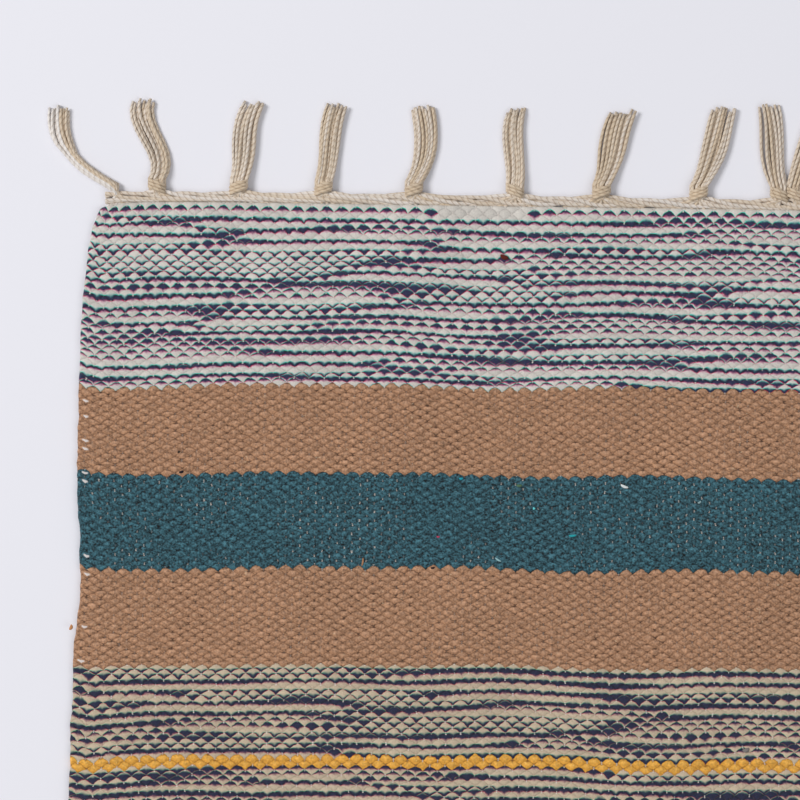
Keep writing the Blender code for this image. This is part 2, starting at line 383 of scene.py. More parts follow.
@dataclass(frozen=True)
class WeaveCell:
    """Finds the float that a point of the cloth lies on, from its warp and pick numbers.

    With u warps across and v picks down, the floats stand where the whole numbers u and v have an
    even sum. Each is a diamond two warps wide and two picks high whose upper sides are bowed out and
    whose lower sides are bowed in, because v is shifted by bow * x * (1 - x), where x is the distance
    from u to the nearest even number. In the shifted diamond, half sums and half differences of u
    and v are rounded to find the float. A fine noise of size fuzz frays the floats' borders. The
    group's one input, Shift, moves the point down the cloth by so many picks.

    Attributes:
        warps: how many warps the cloth has.
        bow: how far the floats are bowed, in picks.
        fuzz: how far their borders are frayed, in warps.
    """

    warps: int
    bow: float
    fuzz: float = 0.34

    def group(self) -> bpy.types.NodeTree:
        """Builds the node group.

        Returns:
            The group. It gives the float's pick and warp, whether it is by a selvedge, the point's
            place up the float and its height there, the float's random tone, and how far the point
            lies in a gap that shows the warp and in the crevice round it, which the wefts paint in shade.
        """
        tree, g, given, out = new_group("weave_cell", {"Shift": NUMBER}, CELL)
        u, v, _side = g.parts(g.attribute("weave", "Vector"))
        v = g.add(v, given["Shift"])
        place = g.place()
        u = g.add(u, g.sway(g.noise(place, 520.0, 1.0), self.fuzz))
        v = g.add(v, g.sway(g.noise(g.moved(place, (0.3, 0.7, 0.0)), 560.0, 1.0), self.fuzz * 1.2))
        x = g.math("PINGPONG", u, 1.0)
        v = g.add(v, g.times(g.times(x, g.less(1.0, x)), self.bow))
        half_sum = g.math("ROUND", g.times(g.add(u, v), 0.5))
        half_gap = g.math("ROUND", g.times(g.less(u, v), 0.5))
        warp, pick = g.add(half_sum, half_gap), g.less(half_sum, half_gap)
        across, down = g.less(u, warp), g.less(v, pick)
        aside, away = g.absolute(across), g.absolute(down)
        width = g.less(1.0, aside)
        up = g.math("DIVIDE", down, g.math("MAXIMUM", width, 0.02))
        rise = g.math("SQRT", g.math("MAXIMUM", g.times(width, g.less(1.0, g.times(up, up))), 0.0))
        tone = g.white(warp, pick, 3.0)
        # The warp shows in the points between two floats, in some more than in others.
        dot = g.white(warp, g.add(pick, g.math("SIGN", down)), 11.0)
        gap = g.times(g.times(g.step(aside, 0.15, 0.05), g.step(away, 0.62, 0.84)), g.add(0.4, g.times(dot, 0.6)))
        hole = g.times(g.step(aside, 0.5, 0.1), g.step(away, 0.45, 0.85))
        # The first whole float from either selvedge is the one on warp 1, counted from there.
        second = g.absolute(g.less(g.math("MINIMUM", warp, g.less(self.warps, warp)), 1.0))
        edge = g.times(g.step(second, 0.6, 0.4), g.step(width, 0.50, 0.75))
        for label, value in zip(CELL, (pick, warp, edge, up, rise, tone, gap, hole)):
            g.put(out[label], value)
        return tree


@dataclass(frozen=True)
class SolidWeft:
    """A weft of one colour, with painted shade in its crevices, painted highlights on its crowns, fibre mottling and
    neps.

    Attributes:
        name: the group's name.
        dark, body, light: the painted shade in the crevices and holes, the colour on the float, and the painted
            highlight on its crown.
        fibre: how strongly the fibres mottle the colour.
        gaps: how much of the warp shows between the floats.
        nep, neps: the colour and the share of the small foreign fibres.
        fibre_height: how high the fibres stand.
        speck, bare: the warp's colour between the floats and where it lies bare by a selvedge.
    """

    name: str
    dark: Colour
    body: Colour
    light: Colour
    fibre: float
    gaps: float
    nep: Colour
    neps: float = 0.0
    fibre_height: float = 0.20 * MM
    speck: Colour = linear(212, 200, 190)
    bare: Colour = linear(220, 212, 208)

    def group(self, _float_finder: bpy.types.NodeTree) -> bpy.types.NodeTree:
        """Builds this weft's colours.

        Args:
            _float_finder: what a mixed weft needs, and one of a single colour doesn't.

        Returns:
            The node group that gives the colour and the height of the fibres.
        """
        tree, g, cell, out = new_group(self.name, CELL, YARN_LOOK)
        place, rise = g.place(), cell["Rise"]
        # Painted shade: the colour darkens towards the crevices, where the float is low.
        base = g.mix(g.step(rise, 0.0, 0.5, 0.35, 1.0), self.dark, self.body)
        # Painted highlight: each crown is lightened on its side towards the far end, which faces the key light.
        crown = g.times(g.step(rise, 0.45, 0.95), g.step(cell["Up"], 0.7, -0.6))
        base = g.mix(crown, base, self.light)
        # Painted shade in the holes between the floats, stronger on some floats than others.
        base = g.mix(g.times(cell["Hole"], g.step(cell["Tone"], 0.2, 0.9)), base, self.dark)
        fine = g.noise(place, 1150.0, 1.0, 0.6)
        mottle = g.add(g.sway(fine, self.fibre * 2.2), g.sway(g.noise(place, 420.0, 1.0), self.fibre * 0.6))
        tone = g.add(g.sway(cell["Tone"], 0.12), g.sway(g.noise(place, 28.0, 1.0), 0.22))
        base = g.shade(base, g.add(1.0, mottle, tone))
        fluff = g.step(g.noise(place, 900.0), 0.80 - self.neps, 0.86 - self.neps)
        base = g.mix(g.times(fluff, 0.6), base, self.nep)
        # The specks of warp are stronger in some patches of the cloth.
        patch = g.step(g.noise(place, 30.0, 1.0), 0.34, 0.56)
        speck = g.step(g.times(cell["Gap"], g.add(0.30, patch)), 0.34, 1.25, 0.0, self.gaps)
        base = g.mix(speck, base, self.speck)
        # By the selvedges the warp lies bare over one pick in four, chosen by chance.
        chosen = g.step(g.white(cell["Pick"], 7.0, 4.0), 0.74, 0.76, 0.0, 0.9)
        bare = g.times(g.step(g.absolute(cell["Up"]), 0.42, 0.18), chosen)
        base = g.mix(g.times(cell["Edge"], bare), base, self.bare)
        g.put(out["Color"], base)
        g.put(out["Height"], g.sway(fine, self.fibre_height))
        return tree


@dataclass(frozen=True)
class MixedWeft:
    """A pale and a navy yarn laid together in one pick, which slowly turn round each other.

    The navy yarn covers the part of each float whose height across the pick is near a slow wave
    along the pick, so it shows as an arc over the float, a dark point under it, both or nothing.
    Its red, green and blue borders stand a little apart, which gives the pale green and pink
    fringes of the photograph.

    Attributes:
        name: the group's name.
        pale, pale_shade: the pale yarn's colour, and the painted shade in its crevices and holes.
        navy, navy_shade: the same of the navy yarn.
        tint: how far apart the borders stand, in picks.
        width: the navy yarn's half width, in picks.
        swing: how far from the float's middle the wave goes, in picks.
        fringes: for red, green and blue, how far down the pattern is moved and how much wider the
            yarn is, in tints.
        fibre_height: how high the fibres stand.
        speck: the warp's colour between the floats.
    """

    name: str
    pale: Colour
    pale_shade: Colour
    navy: Colour
    tint: float
    width: float = 0.77
    navy_shade: Colour = linear(26, 25, 40)
    swing: float = 1.04
    fringes: tuple[tuple[float, float], ...] = ((1.3, 0.0), (-0.7, 0.0), (-0.27, -0.36))
    fibre_height: float = 0.14 * MM
    speck: Colour = linear(222, 212, 204)

    def share(self) -> bpy.types.NodeTree:
        """Builds the share of navy: 1 near the wave and 0 further off than the yarn's half width.

        The wave is the sine of a phase that gains half a turn with each pick, starts by chance and
        wanders along the pick with two slow noises: the pick's own, and one that neighbours share.

        Returns:
            The node group.
        """
        labels = ("Pick", "Warp", "Up", "Tone", "Fray", "Wider")
        tree, g, cell, out = new_group(f"{self.name}_share", dict.fromkeys(labels, NUMBER), {"Share": NUMBER})
        pick = cell["Pick"]
        own, shared, uneven = (
            g.noise(g.vector(g.times(cell["Warp"], across), g.times(pick, down), layer), 1.0)
            for across, down, layer in ((0.035, 5.37, 2.0), (0.018, 0.16, 6.0), (0.08, 3.11, 9.0))
        )
        start = g.white(pick, 5.0, 1.0)
        phase = g.add(g.times(pick, math.pi), g.times(own, 5.0), g.times(shared, 12.0), g.times(start, 4.6))
        wave = g.step(g.math("SINE", phase), -0.85, 0.85, -self.swing, self.swing)
        # The first pick is pale, and the second has an arc over most of its floats.
        opening = g.step(own, 0.58, 0.62, g.step(pick, 0.4, 0.6, 3.0, -0.76), 3.0)
        wave = g.parts(g.mix(g.step(pick, 1.6, 1.4), g.vector(wave, 0.0), g.vector(opening, 0.0)))[0]
        centre = g.add(wave, g.sway(cell["Tone"], 0.26))
        width = g.add(g.sway(uneven, 0.8), self.width, cell["Wider"])
        away = g.absolute(g.less(g.add(cell["Up"], cell["Fray"]), centre))
        g.put(out["Share"], g.less(1.0, g.step(g.less(away, width), -0.42, 0.36)))
        return tree

    def group(self, float_finder: bpy.types.NodeTree) -> bpy.types.NodeTree:
        """Builds this weft's colours.

        Args:
            float_finder: the group that finds the float, which is asked once more for each border.

        Returns:
            The node group that gives the colour and the height of the fibres.
        """
        tree, g, cell, out = new_group(self.name, CELL, YARN_LOOK)
        place, rise = g.place(), cell["Rise"]
        fine = g.noise(place, 1700.0, 2.0, 0.6)
        share, fray = self.share(), g.sway(fine, 0.42)
        covers = []
        for shift, wider in self.fringes:
            found = g.use(float_finder, {"Shift": shift * self.tint})
            asked = {label: found[label] for label in ("Pick", "Warp", "Up", "Tone")}
            covers.append(g.use(share, {**asked, "Fray": fray, "Wider": wider * self.tint})["Share"])
        # Painted shade: the pale yarn darkens towards the crevices, and a little in the holes between the floats.
        pale = g.mix(g.step(rise, 0.0, 0.50, 0.40, 1.0), self.pale_shade, self.pale)
        pale = g.mix(g.times(cell["Hole"], 0.25), pale, self.pale_shade)
        cloud = g.add(g.sway(cell["Tone"], 0.14), g.sway(g.noise(place, 30.0), 0.2))
        pale = g.shade(pale, g.add(1.0, cloud, g.sway(fine, 0.55)))
        # Painted shade: the navy yarn darkens towards the crevices too.
        navy = g.mix(g.step(rise, 0.0, 0.8), self.navy_shade, self.navy)
        navy = g.shade(navy, g.add(1.0, g.sway(fine, 1.6)))
        mixed = [g.add(a, g.times(cover, g.less(b, a))) for a, b, cover in zip(g.parts(pale), g.parts(navy), covers)]
        speck = g.step(cell["Gap"], 0.38, 0.85, 0.0, 0.85)
        g.put(out["Color"], g.mix(speck, g.vector(*mixed), self.speck))
        g.put(out["Height"], g.sway(fine, self.fibre_height))
        return tree


@dataclass(frozen=True)
class WeftFinish:
    """The material of one stripe: its own picks, and its neighbours' where their floats reach in.

    Attributes:
        name: the material's name.
        picks: each weft with the first pick that it starts at, down the cloth.
        float_height: how high the floats stand in the bump.
    """

    name: str
    picks: tuple[tuple[int, Weft], ...]
    float_height: float = 0.30 * MM

    def material(self, groups: dict[Weft, bpy.types.NodeTree], cell_group: bpy.types.NodeTree) -> bpy.types.Material:
        """Builds the material.

        Args:
            groups: the colour group of each weft.
            cell_group: the group that finds the float.

        Returns:
            The material.
        """
        made, g = new_material(self.name)
        cell = g.use(cell_group, {})
        looks = {weft: g.use(groups[weft], cell) for weft in dict.fromkeys(weft for _, weft in self.picks)}
        own = looks[self.picks[0][1]]
        colour = own["Color"]
        for first, weft in self.picks[1:]:
            colour = g.mix(g.math("GREATER_THAN", cell["Pick"], first - 0.5), colour, looks[weft]["Color"])
        relief = g.add(g.times(cell["Rise"], self.float_height), own["Height"])
        rough = g.step(g.noise(g.place(), 900.0, 1.0), 0.3, 0.7, 0.82, 0.96)
        g.surface(colour, relief, rough, sheen=0.12, specular=0.25)
        return made


@dataclass(frozen=True)
class WarpCotton:
    """Undyed plied cotton: two plies that wind round the yarn, with painted shade in the grooves between them.

    Attributes:
        name: the material's name.
        cream, white: the colours of the creamiest and the whitest yarn.
        groove_shade: the colour of the painted shade between the plies.
        ply_pitch: the length of yarn in which a ply winds once round it.
        ply_height, fibre_height: how high the plies and the fibres stand in the bump.
    """

    name: str = "undyed_plied_cotton"
    cream: Colour = linear(204, 184, 158)
    white: Colour = linear(232, 228, 226)
    groove_shade: Colour = linear(166, 138, 108)
    ply_pitch: float = 2.6 * MM
    ply_height: float = 0.13 * MM
    fibre_height: float = 0.12 * MM

    def material(self) -> bpy.types.Material:
        """Builds the material from the yarn's own map of angle and length.

        Returns:
            The material.
        """
        made, g = new_material(self.name)
        around, along, _ = g.parts(g.node("ShaderNodeUVMap", uv_map="Yarn").outputs[0])
        tone, place = g.attribute("tone", "Fac"), g.place()
        fine = g.noise(place, 1500.0, 2.0, 0.6)
        turns = g.add(g.times(around, 2.0), g.math("DIVIDE", g.times(along, YARN_UNIT), self.ply_pitch))
        ridge = g.absolute(g.math("SINE", g.times(g.add(turns, g.times(tone, 7.0)), math.pi)))
        body = g.mix(g.step(tone, 0.0, 1.7), self.cream, self.white)
        # Painted shade in the grooves between the plies, which hardly shows on the palest yarns, as they are softly
        # spun.
        groove_shade = g.step(ridge, 0.55, 0.0, 0.0, g.step(tone, 0.85, 1.25, 0.7, 0.25))
        body = g.mix(groove_shade, body, self.groove_shade)
        body = g.shade(body, g.add(1.0, g.sway(g.noise(place, 60.0), 0.18), g.sway(fine, 0.40)))
        relief = g.add(g.times(ridge, self.ply_height), g.times(fine, self.fibre_height))
        g.surface(body, relief, g.step(fine, 0.3, 0.7, 0.80, 0.95), sheen=0.15, specular=0.25)
        return made


@dataclass(frozen=True)
class LintFinish:
    """Loose fibres in their own colours, which each point of the piece carries.

    Attributes:
        name: the material's name.
        fibre_height: how high the fibres stand in the bump.
    """

    name: str = "loose_fibres"
    fibre_height: float = 0.30 * MM

    def material(self) -> bpy.types.Material:
        """Builds the material from the tint of each bit of fibre.

        Returns:
            The material.
        """
        made, g = new_material(self.name)
        fine = g.noise(g.place(), 2600.0, 2.0, 0.6)
        colour = g.shade(g.attribute("tint", "Vector"), g.add(0.7, g.times(fine, 0.6)))
        g.surface(colour, g.times(fine, self.fibre_height), 0.9, sheen=0.0, specular=0.2)
        return made


WEFT_GROUPS: dict[Weft, SolidWeft | MixedWeft] = {
    Weft.IVORY_NAVY: MixedWeft(
        "ivory_navy", pale=linear(204, 198, 190), pale_shade=linear(176, 168, 160), navy=linear(42, 44, 73), tint=0.066
    ),
    Weft.BEIGE_NAVY: MixedWeft(
        "beige_navy", pale=linear(191, 173, 149), pale_shade=linear(158, 140, 117), navy=linear(38, 40, 64), tint=0.038,
        width=0.88,
    ),
    Weft.TAN: SolidWeft(
        "tan", dark=linear(76, 50, 35), body=linear(162, 120, 90), light=linear(176, 137, 110), fibre=0.80, gaps=0.26,
        nep=linear(196, 170, 140),
    ),
    Weft.TEAL: SolidWeft(
        "teal", dark=linear(6, 20, 28), body=linear(42, 78, 88), light=linear(58, 96, 107), fibre=1.80, gaps=0.72,
        nep=linear(90, 138, 150), neps=0.05,
    ),
    Weft.GOLD: SolidWeft(
        "gold", dark=linear(124, 80, 30), body=linear(214, 153, 58), light=linear(222, 168, 80), fibre=0.46, gaps=0.80,
        nep=linear(236, 196, 120),
    ),
}


# ---- The cloth ----
@dataclass(frozen=True)
class Run:
    """A run of picks in one weft.

    Attributes:
        weft: the weft.
        length: how long the run is along the warp.
        picks: how many picks it has.
    """

    weft: Weft
    length: float
    picks: int


HALF = (
    Run(Weft.TAN, 35.7 * MM, 21),
    Run(Weft.TEAL, 37.8 * MM, 21),
    Run(Weft.TAN, 39.5 * MM, 23),
    Run(Weft.BEIGE_NAVY, 36.7 * MM, 17),
)
GROUP = (*HALF, Run(Weft.GOLD, 4.4 * MM, 2), *reversed(HALF))
BORDER = Run(Weft.IVORY_NAVY, 72.5 * MM, 34)
FIELD = Run(Weft.IVORY_NAVY, 147.4 * MM, 64)
RUNS = (BORDER, *GROUP, FIELD, *GROUP, BORDER)


@dataclass
class Cloth:
    """The woven sheet, one closed slab for each stripe, over the node cloth.

    Attributes:
        width, length, warps: its size and how many warps it has.
        top: how high the floats' crowns stand.
        relief, under_relief: how deep the crevices are in the upper and the under face.
        slack: how far chance moves the yarns.
        rounding, rim_share: how far in the rim's rounding starts, and the share of thickness it leaves.
        end_swell, swell_reach: how far the last picks bulge, and how soon that dies along the warp.
        corner_dip, corner_reach: how far the corners draw back, and how soon that dies along the end.
        end_reach: how soon what is special to an end dies along the warp.
        edge_reach, sag_reach: how far in from the selvedges their insets and the picks' sag go.
        sag_power: how the sag falls with that distance.
        wave: how high the picks' slow waves are.
        bow: how far the floats are bowed, in picks.
        turn_warps: over how many warps the weft's turns slant by a pick.
        fine_picks: stripes that start before this pick have a row of points for each half pick on top.
        lock_picks: how many picks of each neighbour the gold stripes take.
        margin: how many rows and columns the tables of chance have before the cloth begins.
        insets: rows of distance from the far end and the insets of both selvedges, in millimetres.
        sags: rows of that distance and the sag there, in millimetres.
        borders: how far from the far end each pick starts, and where the last one stops.
        wefts: the weft of each pick.
        float_sizes: how high each float stands, as a share of the even height.
        chance: four tables of what is left to chance, from -1 to 1.
        sizes: the length of each stripe that has been built.
    """

    width: float = 0.600
    length: float = 0.900
    warps: int = 200
    top: float = 3.05 * MM
    relief: float = 0.66 * MM
    under_relief: float = 0.45 * MM
    slack: float = 0.24 * MM
    rounding: float = 1.2 * MM
    rim_share: float = 0.12
    end_swell: float = 1.0 * MM
    swell_reach: float = 12.0 * MM
    corner_dip: float = 3.2 * MM
    corner_reach: float = 11.0 * MM
    end_reach: float = 30.0 * MM
    edge_reach: float = 20.0 * MM
    sag_reach: float = 90.0 * MM
    sag_power: float = 1.3
    wave: float = 0.5 * MM
    bow: float = 0.75
    turn_warps: float = 2.3
    fine_picks: int = 136
    lock_picks: int = 2
    margin: int = 3
    insets: tuple[tuple[float, float, float], ...] = (
        (0, 7.4, 5.6), (4, 5.8, 4.2), (10, 3.7, 2.6), (20, 2.4, 1.2), (40, 0.5, 0.3), (75, -0.5, 0.2),
        (115, -0.5, -0.6), (135, 0.9, 0.4), (155, 1.6, 0.9), (166, 0.5, 0.3), (178, -0.9, -0.5),
        (197, -1.0, -1.2), (208, -1.9, -1.4), (240, -2.0, -1.0), (290, -0.8, 0.3), (340, 0.9, 1.0),
        (400, -0.4, -0.6), (500, -0.7, -0.5), (560, 0.8, 1.1), (620, 0.2, -0.4), (690, -1.3, -1.6),
        (760, 0.6, 0.9), (830, -0.3, -0.2), (870, 0.8, 1.0), (886, 2.3, 2.6), (895, 4.4, 4.9),
        (900, 6.2, 6.6),
    )
    sags: tuple[tuple[float, float], ...] = (
        (0, 0.0), (45, 2.2), (73, 2.5), (108, 1.6), (146, 3.6), (222, 4.0), (450, 2.6), (640, 3.4), (900, 2.2),
    )
    borders: Array = field(init=False)
    wefts: list[Weft] = field(init=False)
    float_sizes: Array = field(init=False)
    chance: Array = field(init=False)
    sizes: list[float] = field(init=False, default_factory=list)

    def __post_init__(self) -> None:
        """Counts the picks, adds up their uneven pitches, and draws what is left to chance."""
        draw = np.random.default_rng(7)
        pitches = []
        for run in RUNS:
            uneven = draw.uniform(0.88, 1.12, run.picks)
            pitches.append(uneven * run.length / uneven.sum())
        self.borders = np.concatenate([[0.0], np.cumsum(np.concatenate(pitches))])
        self.wefts = [run.weft for run in RUNS for _ in range(run.picks)]
        table = (len(self.wefts) + 2 * self.margin + 2, self.warps + 2 * self.margin + 2)
        self.float_sizes = draw.uniform(0.84, 1.06, table)
        self.chance = draw.uniform(-1.0, 1.0, (4, *table))

    @property
    def picks(self) -> int:
        """How many picks the cloth has."""
        return len(self.wefts)

    @property
    def warp_pitch(self) -> float:
        """How far apart the warps stand."""
        return self.width / self.warps

    def side_x(self, distance: Array, side: int) -> Array:
        """The X of a selvedge at a distance from the far end; side is -1 for the left one."""
        rows = np.array(self.insets) * MM
        return side * (self.width / 2 - eased_table(distance, rows[:, 0], rows[:, 1 if side < 0 else 2]))

    def end_y(self, x: Array) -> Array:
        """The far end's Y at X: straight, and drawn in at the corners by a dying exponential."""
        return self.length / 2 - self.corner_dip * np.exp(-(self.width / 2 - np.abs(x)) / self.corner_reach)

    def distance(self, v: Array) -> Array:
        """How far from the far end pick v lies."""
        return np.interp(v, np.arange(len(self.borders)) - 0.5, self.borders)

    def outwards(self, distance: Array, reach: float) -> Array:
        """1 at the far end and -1 at the near one, each dying exponentially over reach."""
        return np.exp(-distance / reach) - np.exp(-(self.length - distance) / reach)

    def plan(self, u: Array, v: Array) -> tuple[Array, Array]:
        """Where warp u and pick v lie on the floor.

        The warps stand evenly, and the selvedges' insets fade into the cloth exponentially. A pick
        is straight, less a sag near the selvedges that falls with a power of the distance, and less
        a slow wave of sines. Both fade out at the two ends, where the corners dip and the last picks
        swell instead. Chance moves each crossing a little, and patches of them together.

        Args:
            u: warp numbers, 0 at the left selvedge.
            v: pick numbers, -0.5 at the far end.

        Returns:
            X and Y.
        """
        distance = self.distance(v)
        sides = (u * self.warp_pitch, (self.warps - u) * self.warp_pitch)
        x = -self.width / 2 + sides[0]
        for side, from_side in zip((-1, 1), sides):
            inset = self.side_x(distance, side) - side * self.width / 2
            x = x + inset * np.exp(-from_side / self.edge_reach)
        dip = self.corner_dip * sum(np.exp(-d / self.corner_reach) for d in sides)
        y = self.length / 2 - distance - dip * self.outwards(distance, self.end_reach)
        y = y + self.end_swell * self.outwards(distance, self.swell_reach)
        calm = ease(distance / self.end_reach) * ease((self.length - distance) / self.end_reach)
        rows = np.array(self.sags) * MM
        sag = sum(np.maximum(0.0, 1.0 - d / self.sag_reach) ** self.sag_power for d in sides)
        y = y - eased_table(distance, rows[:, 0], rows[:, 1]) * sag * calm
        roll = np.sin(x / 0.021 + 1.7 * np.sin(distance / 0.047)) + 0.7 * np.sin(x / 0.0127 - distance / 0.035 + 1.0)
        y = y - self.wave * roll * calm
        x = x + self.slack * (self.by_chance(0, u, v) + 1.3 * self.by_chance(1, u / 5.0, v / 4.0))
        return x, y + self.slack * (0.7 * self.by_chance(2, u, v) + self.by_chance(3, u / 6.0, v / 5.0) * calm)

    def by_chance(self, layer: int, u: Array, v: Array) -> Array:
        """A table of chance numbers at whole u and v, read in straight lines between them.

        Args:
            layer: which table.
            u: warp numbers.
            v: pick numbers.

        Returns:
            Numbers from -1 to 1.
        """
        row, column = np.floor(v).astype(int), np.floor(u).astype(int)
        s, t = u - column, v - row
        row, column, table = row + self.margin, column + self.margin, self.chance[layer]
        upper = (1 - s) * table[row, column] + s * table[row, column + 1]
        lower = (1 - s) * table[row + 1, column] + s * table[row + 1, column + 1]
        return (1 - t) * upper + t * lower

    def turned(self, u: Array, v: Array) -> Array:
        """The pick number that the weave has at u and v: near a selvedge the turns slant by one pick."""
        return v + sum(np.maximum(0.0, 1.0 - warp / self.turn_warps) for warp in (u, self.warps - u))

    def rise(self, u: Array, v: Array) -> Array:
        """The height of the weave's floats, from 0 in a crevice to about 1 on a crown.

        The float is found as in WeaveCell, and its height is the root of w(1 - e^2), where w is 1 at
        the float's middle and 0 at its tips, and e is the place across the pick over w.

        Args:
            u: warp numbers.
            v: pick numbers of the weave.

        Returns:
            The height, times the float's own size.
        """
        x = np.abs(u - 2.0 * np.round(u / 2.0))
        v = v + self.bow * x * (1.0 - x)
        half_sum, half_gap = np.round((u + v) / 2.0), np.round((u - v) / 2.0)
        warp, pick = half_sum + half_gap, half_sum - half_gap
        width = 1.0 - np.abs(u - warp)
        up = (v - pick) / np.maximum(width, 0.02)
        size = self.float_sizes[pick.astype(int) + self.margin, warp.astype(int) + self.margin]
        return np.sqrt(np.maximum(width * (1.0 - up * up), 0.0)) * size

    def surface(self, u: Array, v: Array, under: bool) -> Array:
        """The points of the upper or the under face, drawn to the middle in a quarter round at the rim.

        Args:
            u: warp numbers.
            v: pick numbers.
            under: whether it is the under face.

        Returns:
            The points, with X, Y and Z in the last axis.
        """
        x, y = self.plan(u, v)
        weave_v = self.turned(u, v)
        if under:
            z = self.under_relief * (1.0 - np.minimum(self.rise(u + 1.0, weave_v), 1.0))
        else:
            z = self.top - self.relief * (1.0 - self.rise(u, weave_v))
        distance = self.distance(v)
        from_side = np.minimum(u, self.warps - u) * self.warp_pitch
        inward = np.minimum(from_side, np.minimum(distance, self.length - distance))
        t = np.clip(inward / self.rounding, 0.0, 1.0)
        share = np.sqrt(np.maximum(1.0 - (1.0 - t) ** 2, 0.0)) * (1.0 - self.rim_share) + self.rim_share
        middle = self.top * 0.5
        return np.stack([x, y, middle + (z - middle) * share], axis=-1)

    def normals(self, u: Array, v: Array, under: bool) -> Array:
        """The surface's normals, from central differences of its points.

        Args:
            u: warp numbers.
            v: pick numbers.
            under: whether it is the under face, which is smoothed over twice the distance.

        Returns:
            The unit normals, with X, Y and Z in the last axis.
        """
        step = 0.5 if under else 0.25
        low_u, high_u = np.maximum(u - step, 0.0), np.minimum(u + step, float(self.warps))
        low_v, high_v = np.maximum(v - step, -0.5), np.minimum(v + step, self.picks - 0.5)
        across = self.surface(high_u, v, under) - self.surface(low_u, v, under)
        down = self.surface(u, high_v, under) - self.surface(u, low_v, under)
        normal = np.cross(down, across)
        normal /= np.maximum(np.linalg.norm(normal, axis=-1, keepdims=True), 1e-12)
        return -normal if under else normal

    def stripe(self, name: str, first: int, last: int, material: bpy.types.Material) -> bpy.types.Object:
        """One stripe as a closed slab.

        The upper face is a grid of half warps by half or whole picks, the under face one of whole
        warps and picks, and a ring of small faces joins their rims.

        Args:
            name: the piece's name.
            first: its first pick.
            last: its last pick.
            material: its material.

        Returns:
            The piece.
        """
        outer = np.array([0.0, 0.07, 0.22])
        u_top = np.concatenate([outer, np.arange(0.5, self.warps, 0.5), self.warps - outer[::-1]])
        u_low = np.concatenate([outer[::2], np.arange(1.0, self.warps), self.warps - outer[::-2]])
        v_top = self._rows(first, last, 0.5 if first < self.fine_picks else 1.0)
        v_low = self._rows(first, last, 1.0)
        grids, faces, start = [], [], 0
        for columns, rows, under in ((u_top, v_top, False), (u_low, v_low, True)):
            v, u = np.meshgrid(rows, columns, indexing="ij")
            faces += grid_faces(start, *u.shape, flip=under).tolist()
            weave = np.stack([u + under, self.turned(u, v), np.full_like(u, under)], axis=-1)
            flat = (self.surface(u, v, under), self.normals(u, v, under), weave, np.stack([u, v], axis=-1))
            grids.append([start + np.arange(u.size).reshape(u.shape), *(part.reshape(u.size, -1) for part in flat)])
            start += u.size
        (top, low), *tables = zip(*grids)
        points, normals, weave, places = (np.concatenate(pair) for pair in tables)
        quads = len(faces)
        across, down = np.searchsorted(u_top, u_low), np.searchsorted(v_top, v_low - 1e-9)
        faces += self._rim(top[0], low[0], across, False)
        faces += self._rim(top[-1], low[-1], across, True)
        faces += self._rim(top[:, 0], low[:, 0], down, True)
        faces += self._rim(top[:, -1], low[:, -1], down, False)
        made = mesh_object(name, points, faces, material)
        point_attribute(made, "weave", weave)
        made.data.normals_split_custom_set_from_vertices(normals.tolist())
        places[:, 0] /= self.warps
        places[:, 1] = (places[:, 1] - first + 0.5) / (last - first + 1)
        self._bake_map(made, places, top.size, quads)
        return made

    def _rows(self, first: int, last: int, step: float) -> Array:
        """The pick numbers of a stripe's rows of points, one of them just inside each end of the cloth.

        Args:
            first: the stripe's first pick.
            last: its last pick.
            step: how many picks the rows stand apart.

        Returns:
            The pick numbers.
        """
        rows = np.arange(first - 0.5, last + 0.5 + 1e-6, step)
        if first == 0:
            rows = np.insert(rows, 1, -0.4)
        if last == self.picks - 1:
            rows = np.insert(rows, -1, last + 0.4)
        return rows

    def _rim(self, top: Array, low: Array, at: Array, flip: bool) -> list[list[int]]:
        """The faces between a rim of the upper face and the rim of the under face below it.

        Args:
            top: the point numbers along the upper rim.
            low: those along the lower rim.
            at: where in the upper rim each point of the lower rim stands.
            flip: turns the faces over.

        Returns:
            The faces.
        """
        spans = enumerate(zip(at[:-1], at[1:]))
        ring = [[*top[a:b + 1].tolist(), int(low[k + 1]), int(low[k])] for k, (a, b) in spans]
        return [face[::-1] for face in ring] if flip else ring

    def _bake_map(self, made: bpy.types.Object, places: Array, split: int, quads: int) -> None:
        """Lays the upper face in a texture's lower half, the under face in its upper half, the rim between.

        Args:
            made: the piece.
            places: for each point, its place across and along the stripe, from 0 to 1.
            split: the number of the under face's first point.
            quads: how many faces the two grids have, before the rim's.
        """
        loops = np.empty(len(made.data.loops), np.int32)
        made.data.loops.foreach_get("vertex_index", loops)
        across, along = places[loops].T
        high = np.where(loops < split, 0.005, 0.51) + 0.485 * along
        rim = np.arange(len(loops)) >= 4 * quads
        high = np.where(rim, np.where(loops < split, 0.495, 0.505), high)
        corner_map(made, "OFBake", np.stack([0.004 + 0.992 * across, high], axis=1))

    def build(self) -> list[bpy.types.Object]:
        """Builds and dresses every stripe, and keeps each one's length.

        Returns:
            The pieces, from the far end to the near one.
        """
        cell = WeaveCell(self.warps, self.bow).group()
        groups = {weft: finish.group(cell) for weft, finish in WEFT_GROUPS.items()}
        starts = np.concatenate([[0], np.cumsum([run.picks for run in RUNS])])
        gold = [False, *(run.weft is Weft.GOLD for run in RUNS), False]
        made = []
        for k, run in enumerate(RUNS):
            # The two gold picks take some picks of each neighbour with them, which lock them in.
            before, own, after = gold[k:k + 3]
            first = int(starts[k]) + self.lock_picks * (before - own)
            last = int(starts[k + 1]) - 1 + self.lock_picks * (own - after)
            name = f"stripe_{k:02d}_{run.weft.value.removesuffix('_weft')}"
            finish = WeftFinish(name, self._shown_picks(first, last))
            piece = self.stripe(name, first, last, finish.material(groups, cell))
            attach(piece, BODY)
            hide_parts("cloth")
            size = float(self.borders[last + 1] - self.borders[first])
            log.info("%s: picks %d to %d, %.1f mm, %d faces", name, first, last, size / MM, len(piece.data.polygons))
            made.append(piece)
            self.sizes.append(size)
        return made

